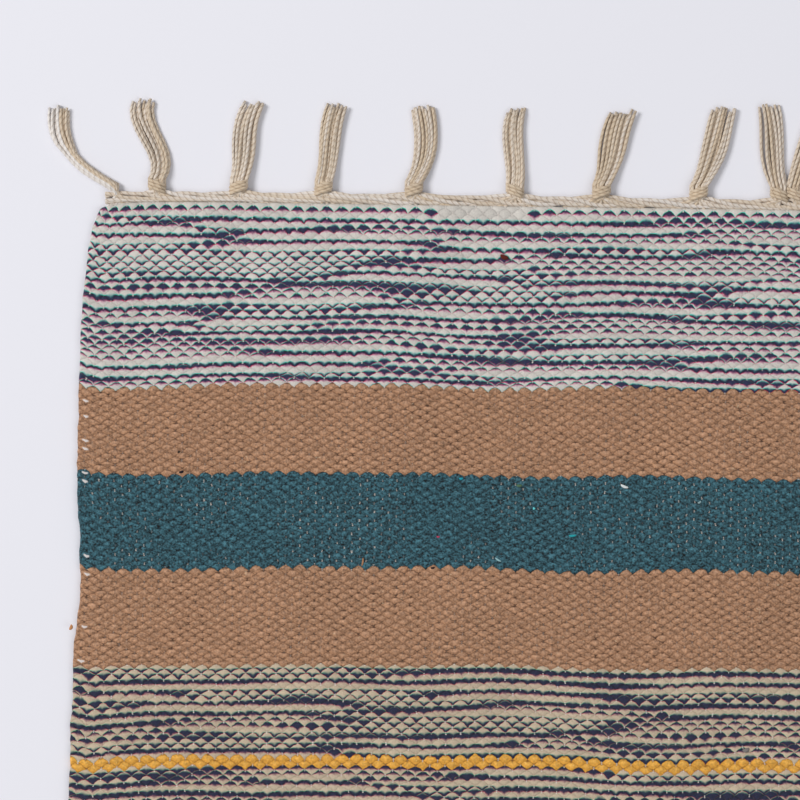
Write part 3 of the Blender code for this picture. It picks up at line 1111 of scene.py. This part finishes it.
    def _shown_picks(self, first: int, last: int) -> tuple[tuple[int, Weft], ...]:
        """The wefts whose floats show on a stripe, which are its own and those of two picks past it.

        Args:
            first: the stripe's first pick.
            last: its last pick.

        Returns:
            Each weft with the first pick that it starts at.
        """
        shown: list[tuple[int, Weft]] = []
        for pick in range(max(first - 2, 0), min(last + 3, self.picks)):
            if not shown or shown[-1][1] is not self.wefts[pick]:
                shown.append((pick, self.wefts[pick]))
        return tuple(shown)


# ---- The fringe ----
@dataclass(frozen=True)
class Tassel:
    """One tassel, in the terms of the source: millimetres from the rug's middle and past its end.

    Attributes:
        name: the node that it stands for.
        end: the end that it hangs from.
        knot_x: where its knot stands.
        drifts: how far it leans at one third, two thirds and the whole of its length.
        tip: how wide its tip spreads.
        reach: how far its tips reach past the cloth's end.
        loose: whether it has no knot.
        stray: how far its left strand bows away from the others.
    """

    name: str
    end: End
    knot_x: float
    drifts: tuple[float, float, float]
    tip: float
    reach: float
    loose: bool = False
    stray: float = 0.8


# Each row is a tassel of the far end: its knot, its three drifts, its tip and its reach.
FAR_TASSELS = (
    (-289.2, -12.7, -18.6, -20.5, 9.6, 37.5), (-269.9, 0.3, -4.8, -5.9, 9.8, 40.5), (-236.8, 1.7, 2.5, 5.9, 9.4, 40.2),
    (-202.5, 1.9, 2.8, 5.0, 8.6, 39.8), (-166.0, 4.1, 4.9, 3.3, 9.8, 39.8), (-125.2, 0.1, -0.8, 0.2, 8.0, 39.4),
    (-90.2, 3.6, 5.5, 8.5, 11.4, 39.0), (-50.9, 4.9, 7.7, 10.1, 10.6, 40.6), (-18.4, -1.9, -2.6, -4.4, 9.6, 42.0),
    (-11.9, 3.2, 6.5, 9.3, 8.4, 41.0), (24.0, 0.9, 1.8, 2.0, 9.0, 40.4), (61.0, -1.5, -2.2, -4.0, 9.8, 39.6),
    (96.5, 0.8, 2.9, 4.6, 9.2, 41.2), (133.0, 1.6, 1.2, -0.6, 8.8, 40.0), (170.5, -0.8, -2.8, -5.2, 10.2, 39.4),
    (206.0, 2.2, 4.8, 6.4, 9.6, 40.8), (242.0, -1.0, 0.6, 2.2, 8.6, 40.2), (271.5, 1.4, 3.4, 4.2, 9.4, 39.8),
    (291.0, 2.6, 5.8, 8.4, 8.8, 38.0),
)


@dataclass
class Fringe:
    """The tassels of both ends, each a bunch of plied warp ends in place of its own node.

    Attributes:
        cloth: the cloth that they hang from.
        yarn, sides: how thick a yarn is, and how many sides it has.
        warp_pitch, yarn_counts: how far apart the warps stand, and the fewest and most yarns.
        knot_start, knot_length, knot_width, knot_height: where past the end a knot is, and its size.
        waist: half the bunch's width where it leaves the knot.
        cords, cord_scale, rope_pitch: the rope's cords, their thickness in yarns, and its turn.
        rope_out, rope_wide, rope_lift, rope_high: how far out and up the rope's middle line is, and
            how far out and up from there its cords go.
        rope_pull: how far a knot pulls the upper cords outwards.
        ring_pitch: how far apart the rope's rings of points are.
        corner_gap: how far from the corners the first and the last share start.
    """

    cloth: Cloth
    yarn: float = 1.45 * MM
    sides: int = 5
    warp_pitch: float = 3.0 * MM
    yarn_counts: tuple[int, int] = (9, 13)
    knot_start: float = 4.6 * MM
    knot_length: float = 5.6 * MM
    knot_width: float = 8.4 * MM
    knot_height: float = 4.6 * MM
    waist: float = 3.4 * MM
    cords: int = 5
    cord_scale: float = 1.26
    rope_pitch: float = 64.0 * MM
    rope_out: float = 3.1 * MM
    rope_wide: float = 1.25 * MM
    rope_lift: float = 1.70 * MM
    rope_high: float = 0.55 * MM
    rope_pull: float = 1.2 * MM
    ring_pitch: float = 3.2 * MM
    corner_gap: float = 2.4 * MM

    def near_tassels(self) -> list[Tassel]:
        """The near end's tassels, spread evenly and leaning by chance, drawn as the source draws them.

        Returns:
            The tassels, from left to right.
        """
        draw = random.Random(11)
        knots = [-290.5, *(-270.5 + 541.0 * k / 15 for k in range(16)), 290.5]
        made = []
        for k, x in enumerate(knots):
            lean = draw.uniform(-6.5, 6.5)
            if k in (0, len(knots) - 1):
                lean += math.copysign(3.2, x)
            bow = draw.uniform(-0.2, 0.2)
            drifts = (lean * (0.36 + bow), lean * (0.70 + bow), lean)
            tip, reach = draw.uniform(8.6, 10.4), draw.uniform(38.6, 41.4)
            made.append(Tassel(f"tassel_near_{k:02d}", End.NEAR, x, drifts, tip, reach))
        return made

    def far_tassels(self) -> list[Tassel]:
        """The far end's tassels: the one at the left corner is loose, and a strand of the ninth strays.

        Returns:
            The tassels, from left to right.
        """
        return [
            Tassel(f"tassel_far_{k:02d}", End.FAR, row[0], row[1:4], *row[4:], k == 0, 3.6 if k == 8 else 0.8)
            for k, row in enumerate(FAR_TASSELS)
        ]

    def drift(self, tassel: Tassel, t: Array) -> Array:
        """The lean at a share t of the length: the cubic through 0 and the three drifts.

        Args:
            tassel: the tassel.
            t: shares of its length.

        Returns:
            The lean at each share.
        """
        keys, values = np.array([0.0, 1 / 3, 2 / 3, 1.0]), np.array([0.0, *tassel.drifts]) * MM
        total = np.zeros_like(t)
        for k in range(4):
            others = [m for m in range(4) if m != k]
            total += values[k] * np.prod([(t - keys[m]) / (keys[k] - keys[m]) for m in others], axis=0)
        return total

    def splits(self, tassels: list[Tassel]) -> list[tuple[float, float]]:
        """Shares an end out: halfway between neighbouring knots, and a gap in from both corners.

        Args:
            tassels: the end's tassels, from left to right.

        Returns:
            Where each tassel's share starts and stops.
        """
        distance = np.array([0.0 if tassels[0].end is End.FAR else self.cloth.length])
        left, right = (float(self.cloth.side_x(distance, side)[0]) for side in (-1, 1))
        knots = np.array([t.knot_x for t in tassels]) * MM
        edges = np.concatenate([[left + self.corner_gap], (knots[1:] + knots[:-1]) / 2, [right - self.corner_gap]])
        return list(zip(edges[:-1].tolist(), edges[1:].tolist()))

    def tubes(self, paths: Array, radii: Array, reference: Array) -> tuple[Array, Array]:
        """Round yarns carried along their paths.

        Each path's cross-sections stand square to it, on the two axes made by crossing its direction
        with a reference direction.

        Args:
            paths: points along each yarn, as yarns by rings by 3.
            radii: the radius at each ring.
            reference: a direction that no path runs along.

        Returns:
            The points, as yarns by rings by sides by 3, and the length along each yarn at its rings.
        """
        along = np.gradient(paths, axis=1)
        along /= np.linalg.norm(along, axis=-1, keepdims=True)
        first = np.cross(along, reference)
        first /= np.linalg.norm(first, axis=-1, keepdims=True)
        second = np.cross(first, along)
        angle = np.arange(self.sides) * (TURN / self.sides)
        ring = first[:, :, None] * np.cos(angle)[:, None] + second[:, :, None] * np.sin(angle)[:, None]
        lengths = np.linalg.norm(np.diff(paths, axis=1), axis=-1)
        lengths = np.concatenate([np.zeros((len(paths), 1)), np.cumsum(lengths, axis=1)], axis=1)
        return paths[:, :, None] + ring * radii[:, :, None, None], lengths

    def tube_faces(self, first: int, yarns: int, rings: int) -> tuple[list[list[int]], Array]:
        """The faces of those yarns with their caps.

        Args:
            first: the number of the first point.
            yarns: how many yarns.
            rings: rings along each.

        Returns:
            The faces, and one row of yarn, ring and side for each corner, with side up to sides.
        """
        yarn, ring, side = np.meshgrid(np.arange(yarns), np.arange(rings - 1), np.arange(self.sides), indexing="ij")
        corners = [(ring, side), (ring, side + 1), (ring + 1, side + 1), (ring + 1, side)]
        rows = np.stack([np.stack([yarn, r, s], axis=-1).reshape(-1, 3) for r, s in corners], axis=1)
        caps = [
            np.stack([np.stack([np.full(self.sides, y), np.full(self.sides, r), order], axis=-1) for y in range(yarns)])
            for r, order in ((0, np.arange(self.sides)[::-1]), (rings - 1, np.arange(self.sides)))
        ]
        every = [rows.reshape(-1, 4, 3), *caps]
        faces: list[list[int]] = []
        for block in every:
            number = first + (block[..., 0] * rings + block[..., 1]) * self.sides + block[..., 2] % self.sides
            faces.extend(number.tolist())
        return faces, np.concatenate([block.reshape(-1, 3) for block in every])

    def gathered(self, tassel: Tassel, warp_x: Array, order: Array, layer: Array) -> Array:
        """The first four points of each yarn: under the last pick, at the edge, under the rope, by the knot.

        Each lies a share of the way from the yarn's own warp to the knot, and further out the
        further the warp is from the knot.

        Args:
            tassel: the tassel.
            warp_x: where each yarn's warp ends.
            order: how far that is from the knot, from 0 to 1.
            layer: a column of 0 or 1 that says which of two layers each yarn lies in.

        Returns:
            The points, as yarns by 4 by 3.
        """
        edge, edge_y = self.cloth.length / 2, self.cloth.end_y(warp_x)
        share = np.array([0.0, 0.05, 0.62, 0.93])
        aside = 3.0 * MM if tassel.loose else 0.0
        x = warp_x[:, None] - ((warp_x - tassel.knot_x * MM)[:, None] - aside) * share
        y = edge_y[:, None] + (edge - edge_y)[:, None] * share + np.array([-1.2, 0.7, 2.2, 4.1]) * MM
        y = y + order[:, None] * np.array([0.0, 0.2, 1.3, 0.6]) * MM
        z = np.array([1.4, 1.1, 1.0, 2.1]) * MM + layer * np.array([0.0, 0.1, 0.7, 0.7]) * MM
        return np.stack([x, y, z], axis=-1)

    def yarn_paths(self, tassel: Tassel, left: float, right: float, draw: np.random.Generator) -> tuple[Array, Array]:
        """The paths of a tassel's yarns, from inside the cloth to their tips, for the far end.

        A yarn leaves the cloth at its own warp and runs sideways along the edge, further out the
        further it comes from, then into the knot. Past the knot it keeps its own lane in the
        bundle, whose middle line leans by the tassel's drift and whose width grows to the tip's.
        It wanders by a sine, and comes down from the knot to lie in one of two layers.

        Args:
            tassel: the tassel.
            left: where its share of the end starts.
            right: where it stops.
            draw: the source of chance.

        Returns:
            The paths, as yarns by rings by 3, and the radii.
        """
        count = int(np.clip(round((right - left) / self.warp_pitch), *self.yarn_counts))
        share = (np.arange(count) + 0.5) / count
        layer = (np.arange(count) % 2)[:, None]
        warp_x, knot_x = left + (right - left) * share, tassel.knot_x * MM
        order = np.abs(warp_x - knot_x) / max(right - knot_x, knot_x - left)
        # Past the knot, t runs from 0 to 1, and the tips stand unevenly.
        lane = (np.argsort(np.argsort(share + draw.uniform(-0.10, 0.10, count))) - (count - 1) / 2) / (count / 2)
        t = np.array([-0.10, 0.0, 0.08, 0.20, 0.34, 0.48, 0.62, 0.76, 0.89, 1.0])
        edge = self.cloth.length / 2
        first_y = edge + self.knot_start + self.knot_length
        tip_y = edge + (tassel.reach + 0.8) * MM + draw.uniform(-1.3, 1.3, count) * MM
        y = first_y + (tip_y - first_y)[:, None] * t
        half = self.waist + ((tassel.tip - 1.4) / 1.9 * MM - self.waist) * ease(t / 0.5)
        phase, pace = (draw.uniform(low, high, count)[:, None] for low, high in ((0.0, 6.28), (2.0, 5.0)))
        wander = 0.32 * MM * np.sin(phase + t * pace) * ease(t * 3)
        stray = tassel.stray * draw.uniform(0.4, 1.0) * MM * np.sin(math.pi * np.clip(t, 0, 1))
        outer = np.where(lane == lane.min(), -1.0, 0.0)[:, None]
        middle = knot_x + self.drift(tassel, np.clip(t, 0, 1))
        if tassel.loose:
            # It has no knot to straighten it: it leans at once, and pinches where its yarns cross.
            middle = knot_x + self.drift(tassel, t) - 4.5 * MM * (1.0 - t)
            half = half * (1.0 - 0.35 * np.exp(-(((t - 0.3) / 0.15) ** 2)))
        x = middle + lane[:, None] * half + wander + outer * stray
        ripple = 0.12 * MM * (1 + np.sin(draw.uniform(0.0, 6.28, count)[:, None] + 5 * t))
        lying = self.yarn / 2 + layer * (self.yarn * 0.58) + ripple
        height = 1.7 * MM + layer * 1.0 * MM
        z = height + (lying - height) * ease((t + 0.02) / 0.30)
        path = np.concatenate([self.gathered(tassel, warp_x, order, layer), np.stack([x, y, z], -1)], axis=1)
        radii = np.full(path.shape[:2], self.yarn / 2) * draw.uniform(0.92, 1.08, count)[:, None]
        radii[:, -1] *= 0.72
        return path, radii

    def knot_paths(self, tassel: Tassel, draw: np.random.Generator) -> tuple[Array, Array]:
        """The yarns wound round a knot: three side by side, once round and a little more, on a slant.

        Args:
            tassel: the tassel.
            draw: the source of chance, which says which way they wind.

        Returns:
            The paths, as yarns by rings by 3, and the radii.
        """
        lanes = np.array([-1.0, 0.0, 1.0]) * self.yarn * 0.92
        turn = np.linspace(-0.72, 0.62, 13) * TURN
        hand = 1.0 if draw.random() < 0.5 else -1.0
        swell = 0.5 - 0.5 * np.cos(np.linspace(0, TURN, 13))
        wide, high = ((size - self.yarn) / 2 for size in (self.knot_width, self.knot_height))
        middle = self.cloth.length / 2 + self.knot_start + self.knot_length * 0.45
        x = tassel.knot_x * MM + hand * np.sin(turn) * wide * (0.85 + 0.15 * swell)
        y = middle + lanes[:, None] + 1.5 * MM * np.sin(turn * 0.75)
        z = self.knot_height / 2 + 0.1 * MM + np.cos(turn) * high
        path = np.stack([np.broadcast_to(x, y.shape), y, np.broadcast_to(z, y.shape)], axis=-1)
        return path, np.full(path.shape[:2], self.yarn / 2 * 1.04)

    def header_paths(self, left: float, right: float, knot_x: float) -> tuple[Array, Array]:
        """The rope of twined warp ends along the cloth's end, over the gathered yarns.

        Each cord winds round the rope's middle line on a flat ellipse, an even share of a turn after
        the one before. Slow sines of X make it uneven. All but the pull of the knot depends on X
        alone, so the ropes of neighbours run on into each other.

        Args:
            left: where the tassel's share of the end starts.
            right: where it stops.
            knot_x: where its knot stands, which pulls the upper cords outwards.

        Returns:
            The paths, as cords by rings by 3, and the radii.
        """
        inner = np.linspace(left, right, 3 + round((right - left) / self.ring_pitch))
        x = np.concatenate([[left - 0.5 * MM], inner, [right + 0.5 * MM]])
        x = np.broadcast_to(x, (self.cords, len(x)))
        cord = np.arange(self.cords)[:, None]
        angle = x * (TURN / self.rope_pitch) + cord * (TURN / self.cords) + 0.7 * np.sin(x / (8.3 * MM) + cord * 1.3)
        slack = 0.16 * MM * np.sin(x / (4.1 * MM) + cord * 2.1)
        pull = self.rope_pull * np.exp(-(((x - knot_x) / (8.0 * MM)) ** 2)) * ease((np.cos(angle) + 0.6) / 1.4)
        y = self.cloth.end_y(x) + self.rope_out + self.rope_wide * np.cos(angle) + slack + pull
        z = self.rope_lift + self.rope_high * np.sin(angle)
        radii = np.full(y.shape, self.yarn / 2 * self.cord_scale)
        radii[:, [0, -1]] *= 0.8
        return np.stack([x, y, z], axis=-1), radii

    def core(self, tassel: Tassel) -> tuple[Array, Array]:
        """The knot's inside as one thick tube along the tassel, so that no gap shows between its turns.

        Args:
            tassel: the tassel.

        Returns:
            The one path and its radii, which go with the root of a sine.
        """
        t = np.linspace(0.0, 1.0, 7)
        y = self.cloth.length / 2 + self.knot_start + self.knot_length * (t * 1.05 - 0.05)
        path = np.stack([np.full_like(y, tassel.knot_x * MM), y, np.full_like(y, 2.2 * MM)], axis=-1)
        return path[None], (np.sqrt(np.sin(math.pi * (0.06 + 0.88 * t))) * 2.1 * MM)[None]

    def tones(self, tassel: Tassel, bunch: int, yarns: int, draw: np.random.Generator) -> Array:
        """How white each yarn of a bunch is, from 0 for the creamiest to above 1.

        Args:
            tassel: the tassel.
            bunch: 0 for its own yarns, 1 for the rope, and 2 and 3 for its knot.
            yarns: how many yarns the bunch has.
            draw: the source of chance.

        Returns:
            One number for each yarn.
        """
        tone = 0.6 * draw.random(yarns) + 0.2
        if bunch == 1:
            # The rope's cords keep their tones from one tassel's piece to the next.
            return 0.75 + 0.25 * np.sin(1.7 * np.arange(yarns))
        if bunch > 1:
            return tone * 0.3
        if tassel.loose:
            # Nearly half of its yarns are of the palest cotton.
            return tone + np.where(np.arange(yarns) < 0.45 * yarns, 0.8, 0.1)
        return tone

    def tassel(
        self, tassel: Tassel, left: float, right: float, seed: int, material: bpy.types.Material
    ) -> bpy.types.Object:
        """Builds one tassel and puts it in its node's place.

        Args:
            tassel: the tassel.
            left: where its share of the end starts.
            right: where it stops.
            seed: its own seed of chance.
            material: the yarn's material.

        Returns:
            The piece.
        """
        draw = np.random.default_rng(seed)
        up, along = np.array([0.0, 0.0, 1.0]), np.array([0.0, 1.0, 0.0])
        rope = self.header_paths(left, right, tassel.knot_x * MM)
        bunches = [(*self.yarn_paths(tassel, left, right, draw), up), (*rope, up)]
        if not tassel.loose:
            bunches += [(*self.knot_paths(tassel, draw), along), (*self.core(tassel), up)]
        points, faces, tones, maps, bakes = [], [], [], [], []
        start, column, columns = 0, 0, sum(len(paths) for paths, _, _ in bunches)
        for bunch, (paths, radii, reference) in enumerate(bunches):
            tube, lengths = self.tubes(paths, radii, reference)
            yarns, rings = tube.shape[:2]
            new_faces, corners = self.tube_faces(start, yarns, rings)
            points.append(tube.reshape(-1, 3))
            faces += new_faces
            tones.append(np.repeat(self.tones(tassel, bunch, yarns, draw), rings * self.sides))
            around = corners[:, 2] / self.sides
            maps.append(np.stack([around, lengths[corners[:, 0], corners[:, 1]] / YARN_UNIT], axis=1))
            share = (column + corners[:, 0] + 0.04 + 0.92 * around) / columns
            bakes.append(np.stack([share, 0.01 + 0.98 * corners[:, 1] / (rings - 1)], axis=1))
            start += tube.size // 3
            column += yarns
        cloud = np.concatenate(points)
        cloud[:, 2] = np.maximum(cloud[:, 2], 0.05 * MM)
        order = np.arange(sum(len(face) for face in faces))
        if tassel.end is End.NEAR:
            # The near end is the far one mirrored, so every face is turned round with its corners.
            cloud[:, 1] *= -1.0
            starts = np.cumsum([0, *(len(face) for face in faces)])
            owner = np.searchsorted(starts, order, side="right") - 1
            order = starts[owner] + starts[owner + 1] - 1 - order
            faces = [face[::-1] for face in faces]
        made = mesh_object(f"{tassel.name}_yarns", cloud, faces, material)
        point_attribute(made, "tone", np.concatenate(tones))
        corner_map(made, "OFBake", np.concatenate(bakes)[order])
        corner_map(made, "Yarn", np.concatenate(maps)[order])
        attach(made, BODY)
        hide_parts(tassel.name)
        return made

    def build(self) -> dict[End, list[bpy.types.Object]]:
        """Builds every tassel of both ends.

        Returns:
            The pieces of each end, from left to right.
        """
        material = WarpCotton().material()
        made: dict[End, list[bpy.types.Object]] = {}
        for end, tassels in ((End.FAR, self.far_tassels()), (End.NEAR, self.near_tassels())):
            seeds = range(100 * (2 + end.value), 100 * (3 + end.value))
            made[end] = [
                self.tassel(tassel, left, right, seed, material)
                for tassel, (left, right), seed in zip(tassels, self.splits(tassels), seeds)
            ]
            log.info("%s fringe: %d tassels", end.name.lower(), len(made[end]))
        return made


# ---- Loose fibres ----
@dataclass(frozen=True)
class Bit:
    """A nub or a short thread that has worked out of the weave.

    Attributes:
        x, y: its place in the photograph, in pixels.
        length, width: its size in millimetres.
        turn: how far it is turned, in degrees.
        colour: its colour, from 0 to 255.
    """

    x: float
    y: float
    length: float
    width: float
    turn: float
    colour: tuple[int, int, int]


@dataclass
class LooseFibres:
    """The few nubs and short threads on the cloth, as one piece of small lying pods.

    Attributes:
        cloth: the cloth that they lie on.
        pixel: the size of a pixel of the photograph on the rug.
        corner: the pixel of the cloth's far left corner.
        tilt: how far the cloth's end rises from pixel to pixel, which is none at middle_x.
        lift: how high the bits' middles stand.
        sides, rings: how many points a bit has round it and along it.
    """

    cloth: Cloth
    pixel: float = 0.405 * MM
    corner: tuple[float, float] = (80, 208)
    middle_x: float = 400
    tilt: float = -0.015
    lift: float = 2.9 * MM
    sides: int = 8
    rings: int = 7
    bits: tuple[Bit, ...] = (
        Bit(183, 472, 2.0, 1.2, 20, (28, 24, 34)), Bit(502, 258, 3.6, 2.0, -20, (96, 38, 30)),
        Bit(625, 487, 3.4, 1.2, -22, (226, 230, 228)), Bit(180, 452, 1.2, 0.9, 60, (50, 42, 38)),
        Bit(408, 570, 3.0, 0.8, 60, (176, 132, 100)), Bit(435, 568, 1.8, 1.0, 10, (60, 44, 40)),
        Bit(462, 479, 1.8, 1.1, 0, (40, 150, 168)), Bit(574, 536, 3.2, 1.0, 5, (44, 160, 168)),
        Bit(535, 509, 1.0, 1.0, 90, (110, 216, 220)), Bit(500, 560, 3.0, 0.8, -32, (150, 190, 196)),
        Bit(520, 486, 2.4, 1.2, 0, (84, 112, 84)), Bit(440, 537, 1.4, 0.9, 0, (178, 70, 96)),
        Bit(365, 562, 3.4, 0.8, 82, (172, 128, 96)), Bit(750, 750, 3.0, 1.8, 20, (128, 122, 118)),
        Bit(700, 503, 1.6, 0.8, 30, (150, 176, 178)), Bit(75, 627, 2.4, 1.4, 70, (196, 138, 92)),
    )

    def build(self) -> bpy.types.Object:
        """Builds every bit as an ellipsoid on a grid of angles, bent a little by a cosine.

        Returns:
            The one piece.
        """
        angles = np.arange(self.sides) * TURN / self.sides
        around, along = np.meshgrid(angles, np.linspace(0.0, math.pi, self.rings), indexing="xy")
        at = np.arange(around.size).reshape(around.shape)
        after = np.roll(at, -1, axis=1)
        quads = np.stack([at[:-1], after[:-1], after[1:], at[1:]], axis=-1).reshape(-1, 4)
        clouds, faces, tints = [], [], []
        for k, bit in enumerate(self.bits):
            x = -self.cloth.width / 2 + (bit.x - self.corner[0]) * self.pixel
            y = self.cloth.length / 2 - (bit.y - self.corner[1] + (bit.x - self.middle_x) * self.tilt) * self.pixel
            half, thick = bit.length * MM / 2, bit.width * MM / 2
            ahead = -np.cos(along) * half
            aside = np.sin(along) * np.cos(around) * thick + 0.25 * thick * np.cos(along * 2)
            up = np.sin(along) * np.sin(around) * thick * 0.7
            c, s = math.cos(math.radians(bit.turn)), math.sin(math.radians(bit.turn))
            turned = np.stack([ahead * c - aside * s + x, ahead * s + aside * c + y, up + self.lift], axis=-1)
            clouds.append(turned.reshape(-1, 3))
            faces += (quads + k * at.size).tolist()
            tints.append(np.tile(linear(*bit.colour)[:3], (at.size, 1)))
        made = mesh_object("loose_fibres", np.concatenate(clouds), faces, LintFinish().material())
        point_attribute(made, "tint", np.concatenate(tints))
        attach(made, BODY)
        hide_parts("cloth")
        log.info("loose fibres: %d bits", len(self.bits))
        return made


# ---- The studio ----
@dataclass
class Studio:
    """A pale floor, a soft key light from the left, soft fill, and the camera straight above one corner.

    Attributes:
        centre: the point of the rug in the picture's middle.
        frame: how wide the picture is on the rug.
        lens, sensor: the camera's, in millimetres.
        roll: how far the picture is turned.
        floor_size, floor_z: how wide the floor is and how high it lies.
        lights: each light's name, its place from the centre, its width and its watts.
        air, air_strength: the colour and the strength of the light from all round.
    """

    centre: tuple[float, float] = (-0.1704, 0.372)
    frame: float = 0.324
    lens: float = 120.0
    sensor: float = 36.0
    roll: float = math.radians(-0.8)
    floor_size: float = 8.0
    floor_z: float = -0.1 * MM
    lights: tuple[tuple[str, tuple[float, float, float], float, float], ...] = (
        ("key_left", (-2.6, 0.9, 2.7), 1.3, 100.0),
        ("fill_right", (2.2, -1.2, 3.0), 2.4, 24.0),
    )
    air: Colour = (0.95, 0.97, 1.0, 1.0)
    air_strength: float = 0.41

    def floor(self) -> bpy.types.Object:
        """Builds the pale floor, a flat square just under the rug.

        Returns:
            The floor.
        """
        corners = np.array([[-1, -1, 0], [1, -1, 0], [1, 1, 0], [-1, 1, 0]]) * (self.floor_size / 2)
        corners[:, 2] = self.floor_z
        material = bpy.data.materials.new("studio_floor")
        material.use_nodes = True
        shader = material.node_tree.nodes["Principled BSDF"]
        looks = {"Base Color": linear(234, 233, 239), "Roughness": 0.9, "Specular IOR Level": 0.1}
        for name, value in looks.items():
            shader.inputs[name].default_value = value
        made = mesh_object("studio_floor", corners, [[0, 1, 2, 3]], material)
        made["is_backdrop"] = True
        return made

    def light(self, name: str, place: tuple[float, float, float], size: float, watts: float) -> None:
        """Adds a square soft light, turned to the picture's middle.

        Args:
            name: its name.
            place: its place from the centre.
            size: how wide it is.
            watts: its power.
        """
        data = bpy.data.lights.new(name, "AREA")
        data.size, data.energy = size, watts
        lamp = bpy.data.objects.new(name, data)
        lamp.location = (self.centre[0] + place[0], self.centre[1] + place[1], place[2])
        aim = Vector((*self.centre, 0.0)) - lamp.location
        lamp.rotation_euler = aim.to_track_quat("-Z", "Y").to_euler()
        bpy.context.scene.collection.objects.link(lamp)

    def build(self) -> None:
        """Builds the floor, the lights, the air and the camera."""
        scene = bpy.context.scene
        self.floor()
        for light in self.lights:
            self.light(*light)
        scene.world = bpy.data.worlds.new("studio_air")
        scene.world.use_nodes = True
        background = scene.world.node_tree.nodes["Background"]
        background.inputs["Color"].default_value = self.air
        background.inputs["Strength"].default_value = self.air_strength
        data = bpy.data.cameras.new("view")
        data.lens, data.sensor_width = self.lens, self.sensor
        data.clip_start, data.clip_end = 0.05, 50.0
        camera = bpy.data.objects.new("view", data)
        camera.location = (*self.centre, self.frame * self.lens / self.sensor)
        camera.rotation_euler = Euler((0.0, 0.0, -self.roll), "XYZ")
        scene.collection.objects.link(camera)
        scene.camera = camera
        scene.view_settings.view_transform = "Standard"
        log.info("studio: %d lights, camera %.3f m up", len(self.lights), camera.location.z)


def main() -> None:
    """Builds the kilim on its frame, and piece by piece."""
    logging.basicConfig(level=logging.INFO, format="%(message)s")
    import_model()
    Studio().build()
    cloth = Cloth()
    stripes = cloth.build()
    fringe = Fringe(cloth).build()
    bits = LooseFibres(cloth).build()
    bpy.context.view_layer.update()
    triangles = sum(len(p.vertices) - 2 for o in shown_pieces() if o.type == "MESH" for p in o.data.polygons)
    log.info("all pieces: %d triangles", triangles)


if __name__ == "__main__":
    main()
